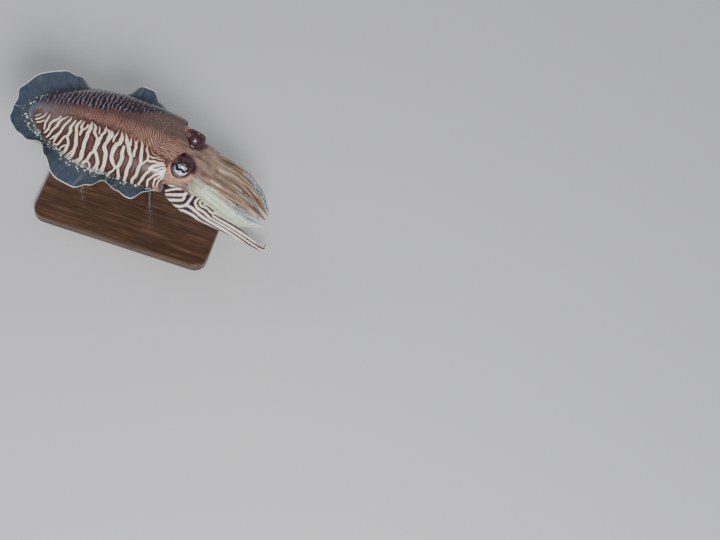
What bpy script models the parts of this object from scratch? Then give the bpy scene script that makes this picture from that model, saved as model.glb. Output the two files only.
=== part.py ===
"""A life-size common cuttlefish, hovering in its zebra display on a plain display stand.

The mantle lies level along Y with its tail at +Y and the head at -Y, so the animal's right is -X.
Head and arms droop ahead of the mantle. The origin is the middle of the stand's underside.
Sizes in the tables are shares of the mantle's length, unless a comment says otherwise.
"""

import math

import bmesh
import bpy
import numpy as np
from mathutils import Vector

# Driving dimensions, in metres
MANTLE_LENGTH = 0.220
AXIS_HEIGHT = 0.150
MANTLE_MIDDLE_Y = 0.040
GAP = 0.0003

# Mantle
MANTLE_HALF_WIDTH = 0.278
MANTLE_CROWN = 0.190
MANTLE_BELLY = 0.150
WIDEST_AT = 0.52
TAIL_ROUNDNESS = 1.6
TAIL_BLUNTNESS = 1.7
FRONT_NARROWING = 0.10
FRONT_LOWERING = 0.20
SECTION_POWER = 2.25
SIDE_MARGIN = 0.915
LOBE_REACH = 0.085
LOBE_SPREAD = math.radians(33)
BELLY_NOTCH = 0.035
COLLAR_WALL = 0.003
COLLAR_FLOOR = 0.84
MANTLE_RINGS = 22
MANTLE_SIDES = 34

# Fins: share of the mantle, width, and the angle in degrees at which the rippling fin stands or hangs
FIN_ROOT_THICKNESS = 0.0020
FIN_EDGE_THICKNESS = 0.0008
FIN_START = 0.00012
FIN_STATIONS = 43
FIN_STRIPS = 4
FIN_RIGHT = [
    (0.00, 0.095, 0),
    (0.015, 0.112, 4),
    (0.05, 0.108, 14),
    (0.10, 0.100, 30),
    (0.20, 0.105, 84),
    (0.26, 0.125, 56),
    (0.36, 0.135, -18),
    (0.44, 0.132, -22),
    (0.53, 0.122, 30),
    (0.61, 0.118, 70),
    (0.70, 0.115, 42),
    (0.79, 0.100, 0),
    (0.89, 0.060, 48),
    (0.94, 0.018, 50),
]
FIN_LEFT = [
    (0.00, 0.095, 0),
    (0.015, 0.136, 16),
    (0.08, 0.160, 33),
    (0.17, 0.155, 32),
    (0.24, 0.140, -4),
    (0.31, 0.125, -56),
    (0.48, 0.120, -66),
    (0.60, 0.118, 20),
    (0.65, 0.116, 20),
    (0.71, 0.100, -40),
    (0.80, 0.080, -60),
    (0.94, 0.018, -50),
]

# Head, whose axis bends down and to the right from the level mantle
HEAD_DROOP = math.radians(33)
HEAD_YAW = math.radians(5)
HEAD_LENGTH = 0.29
NECK_RISE = 0.020
# Stations: share of the head's length, half width, height above and height below the axis
HEAD_SECTIONS = [
    (0.00, 0.222, 0.116, 0.058),
    (0.28, 0.212, 0.119, 0.062),
    (0.50, 0.182, 0.121, 0.088),
    (0.75, 0.163, 0.124, 0.114),
    (1.00, 0.160, 0.130, 0.132),
]
HEAD_RINGS = 13
# The low cone of lips amid the arms: share of the front face, and how far it rises
MOUTH_CONE = [(0.28, 0.0), (0.20, 0.022)]
MOUTH_RISE = 0.030
HEAD_SIDES = 38

# Eyes, each in a lidded bulge of the head. The seat is ahead, to the side and up in the head's frame
EYE_STATION = 0.48
EYE_SIDE = 0.103
EYE_UP = 0.095
EYEBALL = 0.062
EYEBALL_FLATNESS = 0.94
EYE_LOOK = (0.02, 0.74, 0.67)
BULGE_HEIGHT = 0.018
BULGE_SPREAD = 0.070
MOUND_RADIUS = 0.0695
MOUND_OPENING = math.radians(47)
EYE_OPENING = 0.050
BROW_TILT = 0.12
MOUND_SIDES = 22
MOUND_RINGS = 8
PUPIL_WIDTH = 0.0150
PUPIL_HEIGHT = 0.0042
PUPIL_STROKE = 0.0022
PUPIL_DEPTH = 0.0007

# Bundle of arms: distance ahead of the head, half width and half height of the ring of arms
BUNDLE = [
    (0.00, 0.126, 0.098),
    (0.10, 0.136, 0.106),
    (0.22, 0.136, 0.105),
    (0.34, 0.116, 0.090),
    (0.45, 0.076, 0.060),
    (0.56, 0.036, 0.028),
]
BUNDLE_FULLEST = 0.128
# The ring's middle lies a little to the left of and above the head's axis
BUNDLE_SHIFT = (-0.010, 0.014)
# Each arm: its angle from the ring's top in degrees at root and at tip, reach, half breadth, half thickness,
# curl of the tip, how much it narrows with the ring, and how much it swells midway
ARMS = {
    (1, 1): (-13, -12, 0.490, 0.0355, 0.036, -0.02, 1.0, 0.0),
    (2, 1): (27, 22, 0.478, 0.0345, 0.036, -0.01, 1.0, 0.0),
    (3, 1): (73, 100, 0.500, 0.0465, 0.037, 0.05, 0.5, 0.20),
    (1, -1): (47, 45, 0.490, 0.0320, 0.035, -0.02, 1.0, 0.0),
    (2, -1): (84, 82, 0.470, 0.0310, 0.033, -0.01, 1.0, 0.0),
    (3, -1): (124, 120, 0.480, 0.0310, 0.033, -0.02, 1.0, 0.0),
}
# The fourth arms, whose broad bases run back along the head: ahead, side, up, half breadth and thickness
FOURTH_ARMS = {
    1: [
        (-0.130, 0.110, -0.060, 0.040, 0.032),
        (-0.080, 0.150, -0.105, 0.068, 0.038),
        (0.054, 0.149, -0.130, 0.072, 0.034),
        (0.186, 0.129, -0.145, 0.058, 0.030),
        (0.379, 0.095, -0.155, 0.042, 0.022),
        (0.551, 0.080, -0.155, 0.024, 0.014),
        (0.647, 0.067, -0.150, 0.012, 0.008),
        (0.633, 0.040, -0.125, 0.005, 0.004),
    ],
    -1: [
        (-0.130, 0.100, -0.060, 0.040, 0.032),
        (-0.080, 0.135, -0.105, 0.060, 0.036),
        (0.054, 0.098, -0.125, 0.048, 0.034),
        (0.186, 0.070, -0.125, 0.042, 0.030),
        (0.330, 0.055, -0.100, 0.030, 0.022),
        (0.440, 0.035, -0.068, 0.014, 0.012),
        (0.490, 0.022, -0.048, 0.004, 0.004),
    ],
}
FOURTH_OUTWARD = {1: (0.0, 0.60, 0.80), -1: (0.0, 0.65, -0.75)}
FOURTH_START = 0.035
ARM_RINGS = 15
ARM_SIDES = 12
ARM_CUT = 0.42
ORAL_FLATNESS = 0.62

# Suckers, in two rows: the count along each length, and sizes as shares of the arm's half breadth
SUCKERS = {"root": 8, "tip": 14}
SUCKER_RADIUS = 0.27
SUCKER_LEAST = 0.0008
SUCKER_ROW = 0.46
SUCKER_SIDES = 5
SUCKER_SINK = 0.0012
SUCKER_VARIATION = 0.12
SUCKER_CROWDING = 1.5

# Funnel: distance ahead of the collar's floor, drop below the mantle's axis, half width and half height
FUNNEL = [
    (0.000, 0.072, 0.064, 0.021),
    (0.060, 0.083, 0.058, 0.025),
    (0.110, 0.112, 0.046, 0.028),
    (0.150, 0.142, 0.034, 0.024),
]
FUNNEL_SIDES = 16
FUNNEL_WALL = 0.0018
FUNNEL_BORE = 0.40

# Stand, in metres
BASE_LENGTH = 0.250
BASE_WIDTH = 0.150
BASE_HEIGHT = 0.014
BASE_CORNER = 0.018
BASE_BEVEL = 0.002
ROD_RADIUS = 0.005
ROD_SIDES = 20
ROD_PLACES = {"stand_rod_front": -0.020, "stand_rod_back": 0.080}

COLOURS = {
    "mantle": (0.33, 0.21, 0.15),
    "head": (0.26, 0.19, 0.13),
    "fin": (0.42, 0.47, 0.52),
    "eye": (0.62, 0.64, 0.62),
    "arm": (0.40, 0.38, 0.26),
    "funnel": (0.55, 0.46, 0.38),
    "stand": (0.03, 0.03, 0.03),
}


def part_of(share):
    """A length given as a share of the mantle's."""
    return share * MANTLE_LENGTH


def world(ahead, side, up):
    """A place measured from the tail's tip: ahead to the head, side to the animal's right."""
    tail_y = MANTLE_MIDDLE_Y + MANTLE_LENGTH / 2
    return Vector((-side, tail_y - ahead, AXIS_HEIGHT + up))


def smooth_table(table, x):
    """The table's columns at x, eased between its rows."""
    for low, high in zip(table, table[1:]):
        if x <= high[0]:
            t = min(max((x - low[0]) / (high[0] - low[0]), 0.0), 1.0)
            ease = (1 - math.cos(math.pi * t)) / 2
            return [a + (b - a) * ease for a, b in zip(low[1:], high[1:])]
    return list(table[-1][1:])


def through(points, count):
    """Rows evenly spread on a smooth curve that passes through the points' first three columns."""
    p = np.array(points, float)
    p = np.vstack([2 * p[0] - p[1], p, 2 * p[-1] - p[-2]])
    fine = []
    for a, b, c, d in zip(p[:-3], p[1:-2], p[2:-1], p[3:]):
        t = np.linspace(0, 1, 24, endpoint=False)[:, None]
        bend = (2 * a - 5 * b + 4 * c - d) * t**2 + (3 * b - a - 3 * c + d) * t**3
        fine.append(0.5 * (2 * b + (c - a) * t + bend))
    fine = np.vstack(fine + [p[-2:-1]])
    steps = np.linalg.norm(np.diff(fine[:, :3], axis=0), axis=1)
    run = np.concatenate([[0], np.cumsum(steps)])
    at = np.linspace(0, run[-1], count)
    return np.stack([np.interp(at, run, fine[:, k]) for k in range(fine.shape[1])], axis=1)


def oval(angle, half_width, above, below, power=SECTION_POWER):
    """Side and up of a rounded section's outline at this angle, where 90 degrees is straight up."""
    height = above if math.sin(angle) >= 0 else below
    reach = (abs(math.cos(angle)) / half_width) ** power + (abs(math.sin(angle)) / height) ** power
    reach = reach ** (-1 / power)
    return reach * math.cos(angle), reach * math.sin(angle)


def ring_angles(sides):
    return [2 * math.pi * k / sides for k in range(sides)]


def mantle_shares(u):
    """How wide and how high the mantle is at u, from 0 at the tail's tip to 1 at its front."""
    if u < WIDEST_AT:
        share = (1 - (1 - u / WIDEST_AT) ** TAIL_ROUNDNESS) ** (1 / TAIL_BLUNTNESS)
        return share, share
    past = ((u - WIDEST_AT) / (1 - WIDEST_AT)) ** 2
    return 1 - FRONT_NARROWING * past, 1 - FRONT_LOWERING * past


def margin_share(angle):
    """Where the free front edge lies: a lobe reaches over the neck, and the belly's edge is set back."""
    lobe = LOBE_REACH * math.exp(-(((angle - math.pi / 2) / LOBE_SPREAD) ** 2))
    notch = BELLY_NOTCH * max(0.0, -math.sin(angle)) ** 2
    return SIDE_MARGIN + lobe - notch


def mantle_point(u, angle, out=0.0):
    """A point of the mantle's skin, or of a skin set out by some distance."""
    wide, high = [max(share, 1e-4) for share in mantle_shares(u)]
    side, up = oval(
        angle,
        part_of(MANTLE_HALF_WIDTH) * wide + out,
        part_of(MANTLE_CROWN) * high + out,
        part_of(MANTLE_BELLY) * high + out,
    )
    ahead = MANTLE_LENGTH * u * (1 - (1 - margin_share(angle)) * u**4)
    return world(ahead, side, up)


def object_of(name, mesh, colour):
    """A new object with its own material, from a bmesh that is freed."""
    bmesh.ops.recalc_face_normals(mesh, faces=mesh.faces)
    data = bpy.data.meshes.new(name)
    mesh.to_mesh(data)
    mesh.free()
    obj = bpy.data.objects.new(name, data)
    bpy.context.scene.collection.objects.link(obj)
    material = bpy.data.materials.new(name)
    material.use_nodes = True
    shader = material.node_tree.nodes["Principled BSDF"]
    shader.inputs["Base Color"].default_value = (*COLOURS[colour], 1)
    shader.inputs["Roughness"].default_value = 0.45
    shader.inputs["Metallic"].default_value = 0.0
    data.materials.append(material)
    return obj


def loft(name, rings, colour, start=None, end=None):
    """A closed object through equal rings, each end closed by a pole or, without one, by a flat face."""
    mesh = bmesh.new()
    rows = [[mesh.verts.new(p) for p in ring] for ring in rings]
    count = len(rows[0])
    for a, b in zip(rows, rows[1:]):
        for k in range(count):
            j = (k + 1) % count
            mesh.faces.new((a[k], a[j], b[j], b[k]))
    for row, pole in ((rows[0], start), (rows[-1], end)):
        if pole is None:
            mesh.faces.new(row)
            continue
        tip = mesh.verts.new(pole)
        for k in range(count):
            mesh.faces.new((row[k], row[(k + 1) % count], tip))
    return object_of(name, mesh, colour)


def keep_largest(obj):
    """Drops every closed surface of a mesh but the one with the most faces."""
    mesh = bmesh.new()
    mesh.from_mesh(obj.data)
    seen = set()
    groups = []
    for face in mesh.faces:
        if face in seen:
            continue
        group, todo = [], [face]
        seen.add(face)
        while todo:
            here = todo.pop()
            group.append(here)
            for edge in here.edges:
                for other in edge.link_faces:
                    if other not in seen:
                        seen.add(other)
                        todo.append(other)
        groups.append(group)
    groups.sort(key=len)
    for group in groups[:-1]:
        bmesh.ops.delete(mesh, geom=group, context="FACES")
    mesh.to_mesh(obj.data)
    mesh.free()


def combine(obj, pieces, operation, solver="EXACT"):
    """Joins the pieces to an object, or cuts them from it, and removes them."""
    group = bpy.data.collections.new("pieces")
    bpy.context.scene.collection.children.link(group)
    for piece in pieces:
        bpy.context.scene.collection.objects.unlink(piece)
        group.objects.link(piece)
    modifier = obj.modifiers.new("combine", "BOOLEAN")
    modifier.operation = operation
    modifier.operand_type = "COLLECTION"
    modifier.collection = group
    modifier.solver = solver
    bpy.context.view_layer.objects.active = obj
    bpy.ops.object.modifier_apply(modifier=modifier.name)
    for piece in pieces:
        bpy.data.objects.remove(piece)
    bpy.data.collections.remove(group)
    material = obj.data.materials[0]
    obj.data.materials.clear()
    obj.data.materials.append(material)
    keep_largest(obj)


def make_mantle():
    """The mantle, hollowed at its front edge by a shallow collar that takes the neck and the funnel."""
    angles = ring_angles(MANTLE_SIDES)
    stations = [(k / MANTLE_RINGS) ** 1.6 for k in range(1, MANTLE_RINGS + 1)]
    rings = [[mantle_point(u, a) for a in angles] for u in stations]
    floor_y = world(MANTLE_LENGTH * COLLAR_FLOOR, 0, 0).y
    lip = [mantle_point(1.0, a, -COLLAR_WALL / 2) + Vector((0, -0.0008, 0)) for a in angles]
    inner = [mantle_point(1.0, a, -COLLAR_WALL) for a in angles]
    floor = [Vector((p.x, floor_y, p.z)) for p in inner]
    return loft("mantle", rings + [lip, inner, floor], "mantle", start=world(0, 0, 0))


def make_fin(name, hand, table):
    """A rippling fin along one side, split into triangles alike on both faces."""
    end = table[-1][0]
    reach = end - FIN_START
    stations = [FIN_START + reach * (k / FIN_STATIONS) ** 1.8 for k in range(FIN_STATIONS + 1)]
    angle = 0.0 if hand > 0 else math.pi
    roots = [mantle_point(u, angle) for u in stations]
    mesh = bmesh.new()
    sheets = {1: [], -1: []}
    for k, u in enumerate(stations):
        along = (roots[min(k + 1, FIN_STATIONS)] - roots[max(k - 1, 0)]).normalized()
        outward = along.cross(Vector((0, 0, 1))).normalized() * hand
        if k == 0:
            outward = Vector((0, 1, 0))
        width, tilt = smooth_table(table, u)
        tilt = math.radians(tilt)
        place = roots[k] + outward * GAP
        rows = {1: [], -1: []}
        for j in range(FIN_STRIPS + 1):
            q = j / FIN_STRIPS
            bend = tilt * q**0.6
            if j:
                step = outward * math.cos(bend) + Vector((0, 0, math.sin(bend)))
                place = place + step * part_of(width) / FIN_STRIPS
            half = (FIN_ROOT_THICKNESS * (1 - q) + FIN_EDGE_THICKNESS * q) / 2
            normal = Vector((0, 0, math.cos(bend))) - outward * math.sin(bend)
            for face in (1, -1):
                rows[face].append(mesh.verts.new(place + normal * half * face))
        for face in (1, -1):
            sheets[face].append(rows[face])
    top, under = sheets[1], sheets[-1]
    for face in (top, under):
        for a, b in zip(face, face[1:]):
            for j in range(FIN_STRIPS):
                mesh.faces.new((a[j], a[j + 1], b[j + 1]))
                mesh.faces.new((a[j], b[j + 1], b[j]))
    for j in (0, FIN_STRIPS):
        for k in range(FIN_STATIONS):
            mesh.faces.new((top[k][j], top[k + 1][j], under[k + 1][j], under[k][j]))
    for k in (0, FIN_STATIONS):
        for j in range(FIN_STRIPS):
            mesh.faces.new((top[k][j], top[k][j + 1], under[k][j + 1], under[k][j]))
    return object_of(name, mesh, "fin")


def head_frame(v):
    """Centre and the forward, right and upward directions at this share of the head's length."""
    ahead, side, up = MANTLE_LENGTH * COLLAR_FLOOR + GAP, 0.0, part_of(NECK_RISE)
    steps = 24
    for k in range(steps):
        t = (k + 0.5) / steps * v
        droop, yaw = HEAD_DROOP * t, HEAD_YAW * t
        step = part_of(HEAD_LENGTH) * v / steps
        ahead += math.cos(droop) * math.cos(yaw) * step
        side += math.cos(droop) * math.sin(yaw) * step
        up -= math.sin(droop) * step
    droop, yaw = HEAD_DROOP * v, HEAD_YAW * v
    level = Vector((-math.sin(yaw), -math.cos(yaw), 0))
    forward = level * math.cos(droop) + Vector((0, 0, -math.sin(droop)))
    right = Vector((-math.cos(yaw), math.sin(yaw), 0))
    return world(ahead, side, up), forward, right, right.cross(forward)


def head_place(v, side, up):
    """A place beside the head's axis, in shares of the mantle's length."""
    centre, _, right, upward = head_frame(v)
    return centre + right * part_of(side) + upward * part_of(up)


def eye_look(hand):
    """The direction in which an eye looks out."""
    _, forward, right, upward = head_frame(EYE_STATION)
    ahead, side, up = EYE_LOOK
    return (forward * ahead + right * side * hand + upward * up).normalized()


def eye_centre(hand):
    return head_place(EYE_STATION, EYE_SIDE * hand, EYE_UP)


def eye_bulge(place, hand):
    """How far the skin rises round an eye at this place of the head."""
    seat = eye_centre(hand) + eye_look(hand) * part_of(EYEBALL) * 0.6
    near = (place - seat).length / part_of(BULGE_SPREAD)
    return eye_look(hand) * part_of(BULGE_HEIGHT) * math.exp(-(near**2))


def make_head():
    """The head with lidded eye mounds, the fourth arms' bases, and the sockets that the eyeballs sit in."""
    table = np.array(HEAD_SECTIONS)
    rings = []
    for k in range(HEAD_RINGS + 1):
        v = k / HEAD_RINGS
        centre, forward, right, upward = head_frame(v)
        sizes = [part_of(float(np.interp(v, table[:, 0], table[:, c]))) for c in (1, 2, 3)]
        ring = []
        for angle in ring_angles(HEAD_SIDES):
            side, up = oval(angle, *sizes)
            place = centre + right * side + upward * up
            for hand in (1, -1):
                place = place + eye_bulge(place, hand) * min(1, v / 0.3) ** 2
            ring.append(place)
        rings.append(ring)
    crown, forward, _, _ = head_frame(1.0)
    for share, rise in MOUTH_CONE:
        rings.append([crown + (p - crown) * share + forward * part_of(rise) for p in rings[HEAD_RINGS]])
    head = loft("head", rings, "head", end=crown + forward * part_of(MOUTH_RISE))
    combine(head, [make(hand) for make in (make_lids, make_arm_base) for hand in (1, -1)], "UNION")
    for hand in (1, -1):
        combine(head, [eyeball("socket", hand, GAP), make_opening(hand)], "DIFFERENCE")
    return head


def eye_axes(hand):
    """The directions across and up the eye, square to its look."""
    look = eye_look(hand)
    _, forward, _, upward = head_frame(EYE_STATION)
    across = (forward - look * forward.dot(look)).normalized()
    return look, across, look.cross(across) * hand


def eyeball(name, hand, out=0.0):
    """A slightly flattened ball, or one set out by some distance."""
    look, across, rise = eye_axes(hand)
    radius = part_of(EYEBALL) + out
    rings = []
    for k in range(1, 11):
        polar = math.pi * k / 11
        flat = math.cos(polar) * radius * EYEBALL_FLATNESS
        wide = radius * math.sin(polar)
        rings.append([
            eye_centre(hand) + look * flat + (across * math.cos(a) + rise * math.sin(a)) * wide
            for a in ring_angles(20)
        ])
    poles = [eye_centre(hand) + look * radius * EYEBALL_FLATNESS * sign for sign in (1, -1)]
    return loft(name, rings, "eye", start=poles[0], end=poles[1])


def make_pupil(hand):
    """A cutter shaped like a broad W, as the pupil is in daylight."""
    look, across, rise = eye_axes(hand)
    front = eye_centre(hand) + look * part_of(EYEBALL) * EYEBALL_FLATNESS
    half, high, stroke = PUPIL_WIDTH / 2, PUPIL_HEIGHT / 2, PUPIL_STROKE
    line = [(-half, high), (-half * 0.62, -high), (0, high * 0.1), (half * 0.62, -high), (half, high)]
    outline = [(x, y + stroke / 2) for x, y in line] + [(x, y - stroke / 2) for x, y in line[::-1]]
    rings = []
    for depth in (-PUPIL_DEPTH - 0.0016, 0.003):
        rings.append([front + look * depth + across * x + rise * y for x, y in outline])
    return loft(f"pupil{hand}", rings, "eye")


def make_eye(name, hand):
    eye = eyeball(name, hand)
    combine(eye, [make_pupil(hand)], "DIFFERENCE")
    return eye


def lid_axes(hand):
    """The eye's axes, turned down a little so that the brow reaches further over the eyeball."""
    look, across, rise = eye_axes(hand)
    facing = (look - rise * BROW_TILT).normalized()
    return facing, across, facing.cross(across) * hand


def make_opening(hand):
    """A cutter that opens the lids ahead of the eyeball."""
    facing, across, rise = lid_axes(hand)
    rings = []
    for ahead, share in ((0.30, 0.85), (1.60, 1.15)):
        rings.append([
            eye_centre(hand) + facing * part_of(EYEBALL) * ahead
            + (across * math.cos(a) + rise * math.sin(a) * 0.88) * part_of(EYE_OPENING) * share
            for a in ring_angles(MOUND_SIDES)
        ])
    return loft(f"opening{hand}", rings, "head")


def make_lids(hand):
    """A mound of skin round the eyeball."""
    facing, across, rise = lid_axes(hand)
    rings = []
    for k in range(MOUND_RINGS):
        polar = MOUND_OPENING + (math.pi * 0.94 - MOUND_OPENING) * k / (MOUND_RINGS - 1)
        rings.append([
            eye_centre(hand)
            + facing * math.cos(polar) * part_of(MOUND_RADIUS)
            + (across * math.cos(a) + rise * math.sin(a)) * math.sin(polar) * part_of(MOUND_RADIUS)
            for a in ring_angles(MOUND_SIDES)
        ])
    return loft(f"lids{hand}", rings, "head")


def bundle_place(ahead, side, up):
    """A place in the arm bundle's frame, which starts at the head's front face."""
    centre, forward, right, upward = head_frame(1.0)
    return centre + forward * part_of(ahead) + right * part_of(side) + upward * part_of(up)


def arm_angle(number, hand, t):
    """Where the arm lies round the ring, at this share of its length."""
    start, end = ARMS[number, hand][:2]
    return math.radians(start + (end - start) * t**2)


def arm_line(number, hand):
    """The arm's spine, with its half breadth and half thickness beside each place."""
    if number == 4:
        rows = [(*bundle_place(a, s * hand, u), b, d) for a, s, u, b, d in FOURTH_ARMS[hand]]
        return through(rows, 81)
    _, _, reach, breadth, depth, curl, narrowing, swell = ARMS[number, hand]
    rows = []
    for k in range(11):
        t = k / 10
        wide, high = smooth_table(BUNDLE, reach * t)
        angle = arm_angle(number, hand, t)
        shift = min(1, 3 * t)
        place = bundle_place(
            reach * t,
            wide * math.sin(angle) * hand + BUNDLE_SHIFT[0] * shift,
            high * math.cos(angle) + BUNDLE_SHIFT[1] * shift + curl * max(0.0, (t - 0.7) / 0.3) ** 2,
        )
        taper = (wide / BUNDLE_FULLEST) ** narrowing * (1 - t**5) ** 0.7
        taper *= 1 + swell * math.sin(math.pi * t)
        rows.append((*place, max(breadth * taper, 0.003), max(depth * taper, 0.003)))
    return through(rows, 61)


def arm_outward(number, hand):
    """The direction of the arm's outer side, away from the mouth."""
    _, forward, right, upward = head_frame(1.0)
    if number == 4:
        ahead, side, up = FOURTH_OUTWARD[hand]
        return (forward * ahead + right * side * hand + upward * up).normalized()
    angle = arm_angle(number, hand, 0.5)
    return right * math.sin(angle) * hand + upward * math.cos(angle)


class Arm:
    """One arm's spine, and its section at any distance along it."""

    def __init__(self, number, hand):
        self.rows = arm_line(number, hand)
        steps = np.linalg.norm(np.diff(self.rows[:, :3], axis=0), axis=1)
        self.run = np.concatenate([[0], np.cumsum(steps)])
        self.length = self.run[-1]
        self.facing = arm_outward(number, hand)
        self.start = 0.0
        if number == 4:
            crown, forward, _, _ = head_frame(1.0)
            while (self.at(self.start)[0] - crown).dot(forward) < part_of(FOURTH_START):
                self.start += 0.0005

    def at(self, distance):
        """Place, direction along, outward and across, half breadth and half thickness."""
        row = [np.interp(distance, self.run, self.rows[:, k]) for k in range(5)]
        near = 0.003
        ends = [
            Vector([np.interp(d, self.run, self.rows[:, k]) for k in range(3)])
            for d in (max(distance - near, 0), min(distance + near, self.length))
        ]
        along = (ends[1] - ends[0]).normalized()
        outward = (self.facing - along * self.facing.dot(along)).normalized()
        return Vector(row[:3]), along, outward, along.cross(outward), part_of(row[3]), part_of(row[4])

    def ring(self, distance):
        place, _, outward, across, breadth, depth = self.at(distance)
        ring = []
        for angle in ring_angles(ARM_SIDES):
            side, up = oval(angle, breadth, depth, depth * ORAL_FLATNESS, 2.4)
            ring.append(place + across * side + outward * up)
        return ring


def arm_root_ring(arm, number):
    """The first ring of an arm. That of the first three pairs lies flat on the head's front face."""
    ring = arm.ring(arm.start + GAP)
    if number == 4:
        return ring
    crown, forward, _, _ = head_frame(1.0)
    return [p + forward * (GAP - (p - crown).dot(forward)) for p in ring]


def make_sucker(arm, distance, row, scale):
    """A cupped disc on a short stalk, its root sunk in the arm's inner side."""
    place, along, outward, across, breadth, depth = arm.at(distance)
    radius = max(breadth * SUCKER_RADIUS, SUCKER_LEAST) * scale
    shift = breadth * SUCKER_ROW * row
    floor = depth * ORAL_FLATNESS * (1 - SUCKER_ROW**2.4) ** (1 / 2.4)
    root = place + across * shift - outward * floor
    sink = min(SUCKER_SINK, floor * 0.7)
    profile = [(0.60, -sink), (1.00, radius * 0.50), (0.80, radius * 0.95)]
    rings = []
    for width, height in profile:
        rings.append([
            root - outward * height + (across * math.cos(a) + along * math.sin(a)) * radius * width
            for a in ring_angles(SUCKER_SIDES)
        ])
    return loft("sucker", rings, "arm", end=root - outward * radius * 0.60)


def add_suckers(limb, arm, low, high, count, crowding, rng):
    """Suckers in two rows from low to high, closer together towards the tip where crowding is over 1."""
    pieces = []
    for k in range(count):
        t = (k + 0.5) / count
        distance = low + (high - low) * (1 - (1 - t) ** crowding)
        scale = 1 + rng.uniform(-SUCKER_VARIATION, SUCKER_VARIATION)
        pieces.append(make_sucker(arm, distance, 1 if k % 2 else -1, scale))
    combine(limb, pieces, "UNION", "MANIFOLD")


def make_arm(number, hand):
    """An arm in two lengths, which meet at a cut across it."""
    arm = Arm(number, hand)
    side = "right" if hand > 0 else "left"
    free = arm.length - arm.start
    cut = arm.start + free * ARM_CUT
    first = round(ARM_RINGS * ARM_CUT)
    along = [arm.start + free * ARM_CUT * k / first for k in range(1, first + 1)]
    rings = [arm_root_ring(arm, number)] + [arm.ring(d) for d in along]
    root = loft(f"arm_{number}_{side}_root", rings, "arm")
    last = ARM_RINGS - first
    along = [cut + GAP + (arm.length - cut - GAP) * k / last for k in range(last)]
    rings = [arm.ring(d) for d in along]
    tip = loft(f"arm_{number}_{side}_tip", rings, "arm", end=Vector(arm.rows[-1][:3]))
    rng = np.random.default_rng(10 * number + hand)
    add_suckers(root, arm, arm.start + 0.004, cut - 0.002, SUCKERS["root"], 1.0, rng)
    add_suckers(tip, arm, cut + 0.003, arm.length - 0.004, SUCKERS["tip"], SUCKER_CROWDING, rng)


def make_arm_base(hand):
    """The broad base of a fourth arm, which is part of the head."""
    arm = Arm(4, hand)
    count = 6
    return loft(f"base{hand}", [arm.ring(arm.start * k / count) for k in range(count + 1)], "head")


def make_funnel():
    """The funnel under the neck, open at its front end."""
    table = np.array(FUNNEL)
    outer, inner = [], []
    count = 7
    for k in range(count + 1):
        x = table[-1, 0] * k / count
        drop, wide, high = [part_of(float(np.interp(x, table[:, 0], table[:, c]))) for c in (1, 2, 3)]
        for rings, wall in ((outer, 0.0), (inner, FUNNEL_WALL)):
            ring = []
            for angle in ring_angles(FUNNEL_SIDES):
                side, up = oval(angle, wide - wall, high - wall, high - wall, 2.0)
                ring.append(world(MANTLE_LENGTH * COLLAR_FLOOR + GAP + part_of(x), side, up - drop))
            rings.append(ring)
    bore = [ring for k, ring in enumerate(inner) if k / count > 1 - FUNNEL_BORE]
    return loft("funnel", outer + bore[::-1], "funnel")


def belly_height(x, y):
    """How high the mantle's underside is above the floor at this place."""
    low, high = 0.0, 1.0
    tail_y = MANTLE_MIDDLE_Y + MANTLE_LENGTH / 2
    for _ in range(40):
        u = (low + high) / 2
        if mantle_point(u, -math.pi / 2).y > y:
            low = u
        else:
            high = u
    wide, deep = mantle_shares(u)
    share = min(abs(x) / (part_of(MANTLE_HALF_WIDTH) * wide), 0.999)
    return AXIS_HEIGHT - part_of(MANTLE_BELLY) * deep * (1 - share**SECTION_POWER) ** (1 / SECTION_POWER)


def make_rod(name, y):
    """An upright rod whose top follows the mantle's underside."""
    rings = []
    for radius in [ROD_RADIUS * k / 3 for k in (1, 2, 3)]:
        rings.append([
            Vector((x, y + dy, belly_height(x, y + dy) - GAP))
            for x, dy in [(radius * math.cos(a), radius * math.sin(a)) for a in ring_angles(ROD_SIDES)]
        ])
    foot = [Vector((p.x, p.y, BASE_HEIGHT + GAP)) for p in rings[-1]]
    return loft(name, rings + [foot], "stand", start=Vector((0, y, belly_height(0, y) - GAP)))


def make_base():
    """A flat plate with rounded corners and a small bevel round its top."""
    rings = []
    for inset, height in ((0.0, 0.0), (0.0, BASE_HEIGHT - BASE_BEVEL), (BASE_BEVEL, BASE_HEIGHT)):
        ring = []
        for corner in range(4):
            turn = math.pi / 2 * corner
            sign_x = 1 if corner in (0, 3) else -1
            sign_y = 1 if corner in (0, 1) else -1
            for k in range(7):
                a = turn + math.pi / 2 * k / 6
                radius = BASE_CORNER - inset
                ring.append(Vector((
                    sign_x * (BASE_WIDTH / 2 - BASE_CORNER) + radius * math.cos(a),
                    sign_y * (BASE_LENGTH / 2 - BASE_CORNER) + radius * math.sin(a),
                    height,
                )))
        rings.append(ring)
    return loft("stand_base", rings, "stand")


def main():
    for obj in list(bpy.data.objects):
        bpy.data.objects.remove(obj)
    make_mantle()
    make_fin("fin_right", 1, FIN_RIGHT)
    make_fin("fin_left", -1, FIN_LEFT)
    make_head()
    make_eye("eye_right", 1)
    make_eye("eye_left", -1)
    make_funnel()
    for number in (1, 2, 3, 4):
        for hand in (1, -1):
            make_arm(number, hand)
    make_base()
    for name, y in ROD_PLACES.items():
        make_rod(name, y)


main()
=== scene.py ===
"""Looks of a life-size common cuttlefish in its zebra display, on a plain display stand.

The mantle lies level along Y with its tail at +Y and the head at -Y, so the animal's right is -X.
Sizes in the tables are shares of the mantle's length, as in the model's own construction.
"""

import math

import bmesh
import bpy
import numpy as np
from mathutils import Matrix, Vector

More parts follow.
